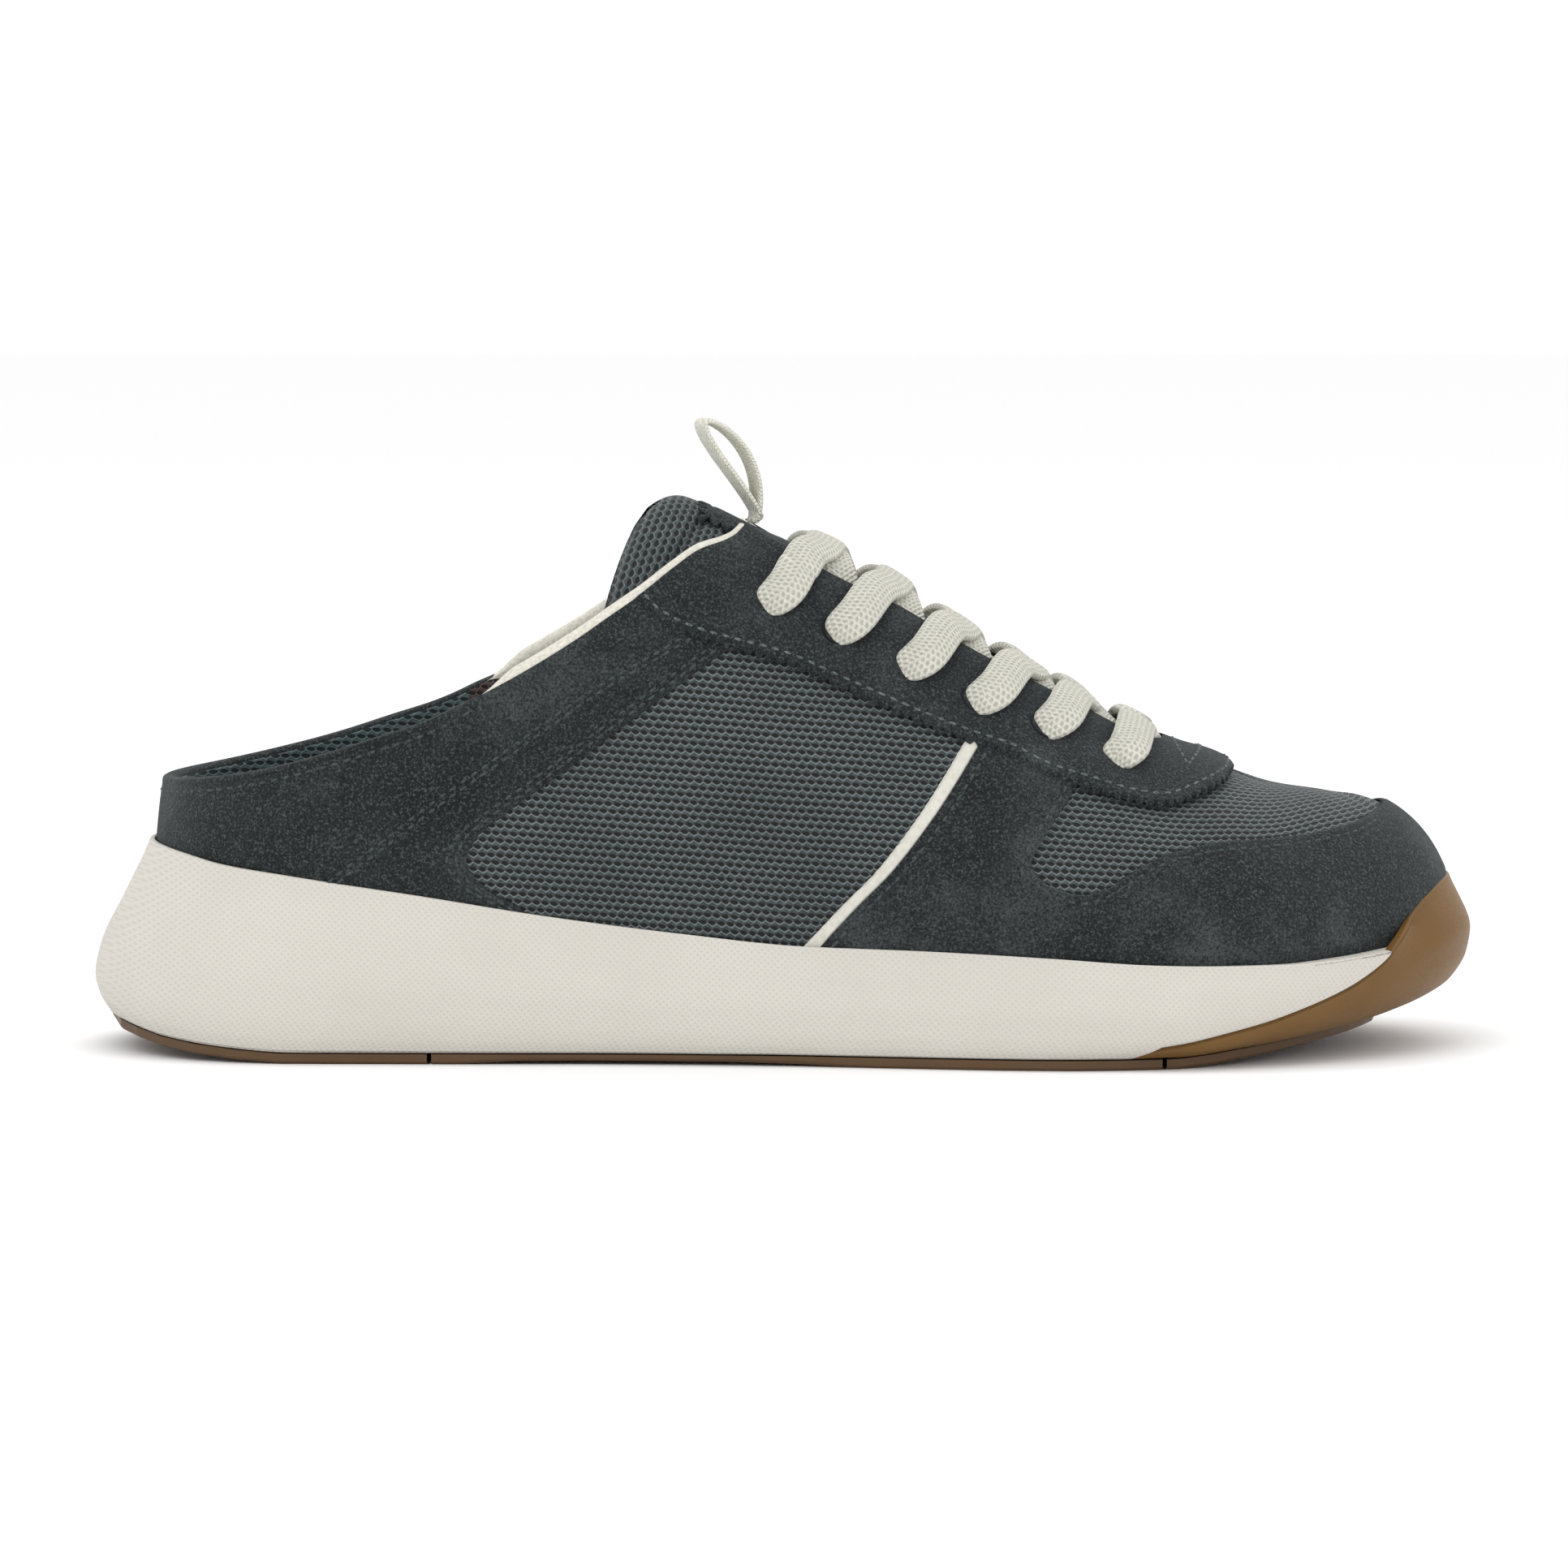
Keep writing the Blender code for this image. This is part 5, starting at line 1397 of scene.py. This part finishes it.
class Wires:
    """Short names for the nodes that the materials share."""

    def __init__(self, tree, shader):
        self.tree, self.shader = tree, shader

    def plug(self, socket, value):
        if isinstance(value, bpy.types.NodeSocket):
            self.tree.links.new(value, socket)
        else:
            socket.default_value = value

    def node(self, kind, **inputs):
        made = self.tree.nodes.new("ShaderNode" + kind)
        for label, value in inputs.items():
            self.plug(made.inputs[label], value)
        return made

    def place(self, cloth=False):
        made = self.tree.nodes.new("ShaderNodeTexCoord")
        return made.outputs["UV" if cloth else "Object"]

    def noise(self, at, scale, detail=3.0, rough=0.55, stretch=None):
        if stretch:
            at = self.node("Mapping", Vector=at, Scale=stretch).outputs[0]
        made = self.node("TexNoise", Vector=at, Scale=scale, Detail=detail, Roughness=rough)
        return made.outputs[0]

    def math(self, kind, a, b=0.0):
        made = self.tree.nodes.new("ShaderNodeMath")
        made.operation = kind
        self.plug(made.inputs[0], a)
        self.plug(made.inputs[1], b)
        return made.outputs[0]

    def ramp(self, value, *stops):
        made = self.tree.nodes.new("ShaderNodeValToRGB")
        band = made.color_ramp.elements
        while len(band) < len(stops):
            band.new(0.5)
        for stop, (at, colour) in zip(band, stops):
            stop.position = at
            stop.color = (*colour, 1)
        self.tree.links.new(value, made.inputs[0])
        return made.outputs[0]

    def grey(self, value, low, high, to_low=0.0, to_high=1.0):
        made = self.tree.nodes.new("ShaderNodeMapRange")
        made.interpolation_type = "SMOOTHSTEP"
        self.tree.links.new(value, made.inputs[0])
        for i, number in enumerate((low, high, to_low, to_high)):
            made.inputs[i + 1].default_value = number
        return made.outputs[0]

    def mix(self, factor, a, b, kind="MIX"):
        """Mix of two colours, by a factor. The mix node keeps its colours in sockets 6 and 7."""
        made = self.tree.nodes.new("ShaderNodeMix")
        made.data_type = "RGBA"
        made.blend_type = kind
        self.plug(made.inputs[0], factor)
        for i, colour in ((6, a), (7, b)):
            self.plug(made.inputs[i], (*colour, 1) if isinstance(colour, tuple) else colour)
        return made.outputs[2]

    def split(self, vector):
        made = self.node("SeparateXYZ", Vector=vector)
        return made.outputs[0], made.outputs[1], made.outputs[2]

    def bump(self, height, distance, strength=1.0, after=None):
        made = self.node("Bump", Height=height, Distance=distance, Strength=strength)
        if after is not None:
            self.tree.links.new(after, made.inputs["Normal"])
        return made.outputs[0]

    def finish(self, colour, normal=None, rough=None):
        self.tree.links.new(colour, self.shader.inputs["Base Color"])
        if normal is not None:
            self.tree.links.new(normal, self.shader.inputs["Normal"])
        if rough is not None:
            self.tree.links.new(rough, self.shader.inputs["Roughness"])


def suede_look(name, dark, mid, light):
    """Short-napped suede: brushed clouds, fine specks, a soft sheen."""
    made, w = look(name, 0.93, sheen=0.22, specular=0.22)
    w.shader.inputs["Sheen Roughness"].default_value = 0.42
    w.shader.inputs["Sheen Tint"].default_value = (0.50, 0.56, 0.57, 1)
    at = w.place()
    clouds = w.noise(at, 34.0, 4.0, 0.6)
    brushed = w.noise(at, 95.0, 4.0, 0.62, (1.0, 1.0, 1.9))
    specks = w.noise(at, 1900.0, 3.0, 0.7)
    fine = w.noise(at, 3400.0, 2.0, 0.6)
    tone = w.ramp(clouds, (0.32, dark), (0.50, mid), (0.72, light))
    tone = w.mix(w.grey(brushed, 0.35, 0.70, 0.0, 0.55), tone, mid)
    tone = w.mix(w.grey(specks, 0.50, 0.66), tone, light)
    tone = w.mix(w.grey(specks, 0.50, 0.36, 0.0, 0.85), tone, dark)
    tone = w.mix(w.grey(fine, 0.50, 0.30, 0.0, 0.60), tone, dark)
    nap = w.bump(specks, 0.00050, 0.9)
    nap = w.bump(fine, 0.00026, 0.8, nap)
    nap = w.bump(brushed, 0.0007, 0.35, nap)
    w.finish(tone, nap)
    return made


def mesh_look(name, thread, shine, hole_shade, size=(0.00182, 0.00150)):
    """Spacer mesh: staggered oval holes between threads, their dark inside painted shade, and a painted
    highlight on the V of thread below each.

    size gives a cell's width and height. Places within a cell run from -0.5 to 0.5.
    """
    made, w = look(name, 0.78, sheen=0.12, specular=0.35)
    u, v, _ = w.split(w.place(cloth=True))
    wobble = w.noise(w.place(), 210.0, 2.0)
    u = w.math("ADD", u, w.math("MULTIPLY", w.math("SUBTRACT", wobble, 0.5), 0.0006))
    rows = w.math("DIVIDE", v, size[1])
    row = w.math("FLOOR", rows)
    odd = w.math("MULTIPLY", w.math("FLOORED_MODULO", row, 2.0), 0.5)
    across = w.math("ADD", w.math("DIVIDE", u, size[0]), odd)
    cx = w.math("SUBTRACT", w.math("FRACT", across), 0.5)
    cy = w.math("SUBTRACT", w.math("FRACT", rows), 0.5)
    lean = w.math("ADD", cx, w.math("MULTIPLY", cy, 0.18))
    hx = w.math("DIVIDE", lean, 0.42)
    hy = w.math("DIVIDE", w.math("SUBTRACT", cy, 0.07), 0.31)
    round_ = w.math("SQRT", w.math("ADD", w.math("MULTIPLY", hx, hx), w.math("MULTIPLY", hy, hy)))
    # Mask of the oval holes: their dark colour is painted shade, and the same mask sinks them in the bump
    hole_shade_mask = w.grey(round_, 1.12, 0.72)
    arm = w.math("MULTIPLY", w.math("ABSOLUTE", lean), 0.85)
    vee = w.math("ABSOLUTE", w.math("SUBTRACT", w.math("ADD", cy, 0.46), arm))
    # The V of thread below each hole, where a painted highlight goes
    lit = w.grey(vee, 0.17, 0.05)
    yarn = w.noise(w.place(), 2600.0, 2.0)
    tone = w.mix(w.grey(yarn, 0.3, 0.7, 0.0, 0.35), thread, shine)
    tone = w.mix(lit, tone, shine)
    tone = w.mix(hole_shade_mask, tone, hole_shade)
    clouds = w.noise(w.place(), 40.0, 3.0)
    tone = w.mix(w.grey(clouds, 0.35, 0.75, 0.0, 0.25), tone, shine, "MULTIPLY")
    raised = w.math("ADD", 1.0, w.math("MULTIPLY", lit, 0.45))
    depth = w.math("SUBTRACT", raised, w.math("MULTIPLY", hole_shade_mask, 1.3))
    bump = w.bump(depth, 0.00055, 0.85)
    bump = w.bump(yarn, 0.00008, 0.4, bump)
    w.finish(tone, bump)
    return made


def ribbed_look(name, light, shade, pitch):
    """Knitted lining with fine ribs across its length."""
    made, w = look(name, 0.88, sheen=0.15, specular=0.25)
    u, v, _ = w.split(w.place(cloth=True))
    ribs = w.math("SINE", w.math("MULTIPLY", u, 2 * math.pi / pitch))
    rows = w.math("SINE", w.math("MULTIPLY", v, 2 * math.pi / (pitch * 0.8)))
    knit = w.math("ADD", ribs, w.math("MULTIPLY", rows, 0.5))
    tone = w.mix(w.grey(knit, -1.3, 0.2), shade, light)
    fuzz = w.noise(w.place(), 1900.0, 2.0)
    bump = w.bump(knit, 0.00028, 0.6)
    bump = w.bump(fuzz, 0.00012, 0.5, bump)
    w.finish(tone, bump)
    return made


def woven_look(name, light, shade, pitch=0.0011):
    """Soft braided lace: slanted strands that meet along the middle."""
    made, w = look(name, 0.9, sheen=0.25, specular=0.2)
    u, v, _ = w.split(w.place(cloth=True))
    slant = w.math("ADD", u, w.math("MULTIPLY", w.math("ABSOLUTE", v), 0.85))
    strand = w.math("SINE", w.math("MULTIPLY", slant, 2 * math.pi / pitch))
    cross = w.math("SINE", w.math("MULTIPLY", v, 2 * math.pi / (pitch * 0.95)))
    weave = w.math("ADD", strand, w.math("MULTIPLY", cross, 0.75))
    fuzz = w.noise(w.place(), 2300.0, 3.0, 0.7)
    tone = w.mix(w.grey(weave, -1.4, 0.1, 0.0, 1.0), shade, light)
    tone = w.mix(w.grey(fuzz, 0.35, 0.65, 0.0, 0.25), tone, light)
    bump = w.bump(weave, 0.00034, 0.7)
    bump = w.bump(fuzz, 0.00022, 0.7, bump)
    w.finish(tone, bump)
    return made


def foam_look(name, light, shade):
    """Moulded foam with a fine slanted grain."""
    made, w = look(name, 0.62, specular=0.32)
    x, y, z = w.split(w.place())
    side = w.math("ADD", x, w.math("MULTIPLY", y, 0.35))
    lines = []
    for kind, slant, pitch in (("ADD", 0.8, 0.00125), ("SUBTRACT", 1.3, 0.00145)):
        run = w.math(kind, side, w.math("MULTIPLY", z, slant))
        lines.append(w.math("SINE", w.math("MULTIPLY", run, 2 * math.pi / pitch)))
    grain = w.math("MAXIMUM", *lines)
    pores = w.noise(w.place(), 900.0, 3.0)
    clouds = w.noise(w.place(), 26.0, 3.0)
    tone = w.mix(w.grey(grain, -0.6, 0.9, 0.25, 1.0), shade, light)
    tone = w.mix(w.grey(clouds, 0.4, 0.7, 0.0, 0.35), tone, shade)
    bump = w.bump(grain, 0.00010, 0.45)
    bump = w.bump(pores, 0.00010, 0.3, bump)
    w.finish(tone, bump)
    return made


def gum_look(name, light, dark):
    """Satin gum rubber with a fine moulded grain."""
    made, w = look(name, 0.48, specular=0.32)
    at = w.place()
    clouds = w.noise(at, 30.0, 3.0)
    grain = w.noise(at, 2400.0, 2.0)
    tone = w.ramp(clouds, (0.35, dark), (0.70, light))
    tone = w.mix(w.grey(grain, 0.4, 0.7, 0.0, 0.15), tone, dark)
    bump = w.bump(grain, 0.00006, 0.5)
    bump = w.bump(clouds, 0.0006, 0.12, bump)
    w.finish(tone, bump, w.grey(grain, 0.3, 0.7, 0.42, 0.56))
    return made


def plain_look(name, colour, shade, roughness, scale=1800.0, depth=0.0001):
    """Plain cloth or thread with a fine uneven grain."""
    made, w = look(name, roughness, sheen=0.1, specular=0.25)
    grain = w.noise(w.place(), scale, 3.0)
    tone = w.mix(w.grey(grain, 0.3, 0.7), shade, colour)
    w.finish(tone, w.bump(grain, depth, 0.6))
    return made


def seam_places(edge, side, shift, count=160, low_line=rim_line):
    """Places along a slanted seam, a distance in front of it or behind it."""
    z = np.linspace(meets(edge, low_line), meets(edge, side_top), count)
    return spot(edge(z) + shift, z, side)


def window_foot(x):
    """Level line just under the lower rear corner of the vamp's mesh window."""
    return toe_panel_line(x_at(TOE_PANEL_EDGE[0][0]) + x * 0) - 0.002


def heel_stitches(side):
    """Places along the collar at the heel, a little below its edge."""
    share = spread(0.001, BINDING_BACK - 0.01, 90)
    v, step = opening(share, side), 0.02
    rise = np.linalg.norm(rib(share, side, v) - rib(share, side, v - step), axis=-1)
    return stacked(share, side, v - step * COLLAR_INSET / rise)


def make_all_stitches(dark, pale):
    """Rows of dark thread beside the seams, and of paler thread on the eyestay."""
    top, thin = SUEDE - STITCH_DROP, THIN_SUEDE - STITCH_DROP
    counter, quarter = edge_from(COUNTER_SEAM), edge_from(QUARTER_SEAM)
    front = edge_from(STRIPE_SEAM, STRIPE_WIDTH * 1.1 + 0.0024)
    window = edge_from(WINDOW_EDGE, -0.0018)
    toe_x = np.linspace(x_at(0.677), x_at(0.925), 260)
    stay_x = np.linspace(x_at(EYESTAY_BACK + 0.006), x_at(EYESTAY_FRONT - 0.004), 300)
    rows, pale_rows = [], []
    for side in (LATERAL, MEDIAL):
        rows += [(seam_places(counter, side, shift), top) for shift in COUNTER_STITCHES]
        rows += [(seam_places(quarter, side, shift, 240), thin) for shift in QUARTER_STITCHES]
        rows.append((seam_places(front, side, 0.0), top))
        rows.append((seam_places(window, side, 0.0, low_line=window_foot), top))
        rows.append((spot(toe_x, toe_panel_line(toe_x) - EDGE_INSET, side), top))
        pale_rows.append((spot(stay_x, eyestay_line(stay_x) + EDGE_INSET, side), top + EYESTAY_LIFT))
        for (x0, z0), (x1, z1) in zip(V_STITCH, V_STITCH[1:]):
            leg = spot(np.linspace(x0, x1, 12), np.linspace(z0, z1, 12), side)
            pale_rows.append((leg, top + EYESTAY_LIFT))
        rows.append((heel_stitches(side), top))
    make_stitches("stitches_dark", rows, dark)
    make_stitches("stitches_pale", pale_rows, pale)


def make_floor():
    bpy.ops.mesh.primitive_plane_add(size=FLOOR_SIZE, location=(0, 0, 0))
    floor = bpy.context.object
    floor.name = "floor"
    made = bpy.data.materials.new("floor_paper")
    made.use_nodes = True
    shader = made.node_tree.nodes["Principled BSDF"]
    shader.inputs["Base Color"].default_value = FLOOR_COLOUR
    shader.inputs["Roughness"].default_value = 0.9
    shader.inputs["Specular IOR Level"].default_value = 0.1
    floor.data.materials.append(made)


def aimed(item, place, target):
    """Puts a lamp or a camera at a place, looking at a target."""
    item.location = place
    item.rotation_euler = (Vector(target) - Vector(place)).to_track_quat("-Z", "Y").to_euler()
    bpy.context.scene.collection.objects.link(item)


def make_light_and_camera():
    """Soft studio light, and the camera at the photograph's angle."""
    world = bpy.context.scene.world or bpy.data.worlds.new("studio")
    bpy.context.scene.world = world
    world.use_nodes = True
    background = world.node_tree.nodes["Background"]
    background.inputs["Color"].default_value = (1.0, 1.0, 1.0, 1)
    background.inputs["Strength"].default_value = SKY_STRENGTH
    bpy.context.scene.view_settings.view_transform = "Standard"

    for label, place, size, power in LAMPS:
        lamp = bpy.data.lights.new(label, "AREA")
        lamp.energy = power
        lamp.size = size
        aimed(bpy.data.objects.new(label, lamp), place, LAMP_TARGET)

    lens = bpy.data.cameras.new("camera")
    lens.lens = LENS_MM
    lens.sensor_width = SENSOR_MM
    camera = bpy.data.objects.new("camera", lens)
    aimed(camera, CAMERA_PLACE, CAMERA_TARGET)
    bpy.context.scene.camera = camera


def dress_outsole(finish):
    for node in ("outsole_heel", "outsole_waist", "outsole_forefoot"):
        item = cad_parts[node]
        item.data.materials.clear()
        item.data.materials.append(finish)


def main():
    foam = foam_look("foam", (0.615, 0.590, 0.537), (0.530, 0.506, 0.455))
    gum = gum_look("gum", (0.184, 0.093, 0.020), (0.140, 0.068, 0.013))
    # Outsole gum, darker than the bumper's: partly its own brown, partly painted shade of the shadow along
    # the sole's lower edge
    sole_gum_shaded = gum_look("gum_sole_shaded", (0.115, 0.062, 0.026), (0.088, 0.047, 0.020))
    suede = suede_look("suede", (0.0075, 0.0090, 0.0092), (0.0205, 0.0240, 0.0243), (0.074, 0.085, 0.086))
    # In each mesh look the second colour is a painted highlight on the threads and the third is painted shade
    # in the holes
    mesh = mesh_look("mesh", (0.0185, 0.0255, 0.0272), (0.170, 0.204, 0.206), (0.0025, 0.0035, 0.0038))
    thread, shine, hole_shade = (0.030, 0.042, 0.045), (0.150, 0.180, 0.182), (0.004, 0.006, 0.007)
    tongue_mesh = mesh_look("tongue_mesh", thread, shine, hole_shade, size=(0.0020, 0.0015))
    thread, shine, hole_shade = (0.070, 0.105, 0.112), (0.200, 0.260, 0.270), (0.014, 0.021, 0.023)
    spacer = mesh_look("spacer", thread, shine, hole_shade, size=(0.0022, 0.0015))
    brown = mesh_look("brown_mesh", (0.075, 0.050, 0.048), (0.17, 0.12, 0.11), (0.018, 0.012, 0.012))
    ribbed = ribbed_look("ribbed_lining", (0.80, 0.78, 0.70), (0.55, 0.53, 0.46), 0.0016)
    cream = plain_look("cream_piping", (0.74, 0.71, 0.63), (0.56, 0.54, 0.47), 0.8, 1500.0, 0.00015)
    stripe = plain_look("cream_stripe", (0.66, 0.64, 0.58), (0.58, 0.56, 0.50), 0.6, 900.0, 0.00005)
    lace = woven_look("lace", (0.715, 0.70, 0.615), (0.43, 0.42, 0.36))
    loop = woven_look("loop_tape", (0.88, 0.87, 0.76), (0.70, 0.69, 0.58), 0.0008)
    footbed = plain_look("footbed_cloth", (0.052, 0.072, 0.077), (0.03, 0.043, 0.047), 0.92, 1300.0, 0.0002)
    # Dark thread, lighter than the suede: partly its own colour, partly a painted glint along the stitches
    dark_thread_glint = plain_look("thread_dark_glint", (0.062, 0.080, 0.083), (0.022, 0.030, 0.032), 0.6)
    pale_thread = plain_look("thread_pale", (0.150, 0.180, 0.185), (0.045, 0.058, 0.060), 0.7)
    # Painted shade: a near-black disc standing in for the shadow inside each eyelet hole
    eyelet_hole_shade = plain_look("eyelet_hole_shade", (0.006, 0.008, 0.009), (0.004, 0.005, 0.006), 0.95)

    make_midsole(foam)
    make_bumper(gum)
    dress_outsole(sole_gum_shaded)
    make_upper([mesh, spacer, brown, ribbed])
    make_insole(footbed)
    make_counter(suede)
    make_toe_panel(suede)
    make_eyestay(suede)
    for label, side in (("lateral", LATERAL), ("medial", MEDIAL)):
        make_quarter(f"quarter_band_{label}", side, suede)
        make_stripe(f"side_stripe_{label}", side, stripe)
    make_edging(suede, cream)
    make_tongue(tongue_mesh)
    make_patch(suede)
    make_loop(loop)
    make_holes(eyelet_hole_shade)
    make_laces(lace)
    make_all_stitches(dark_thread_glint, pale_thread)
    make_floor()
    make_light_and_camera()


main()
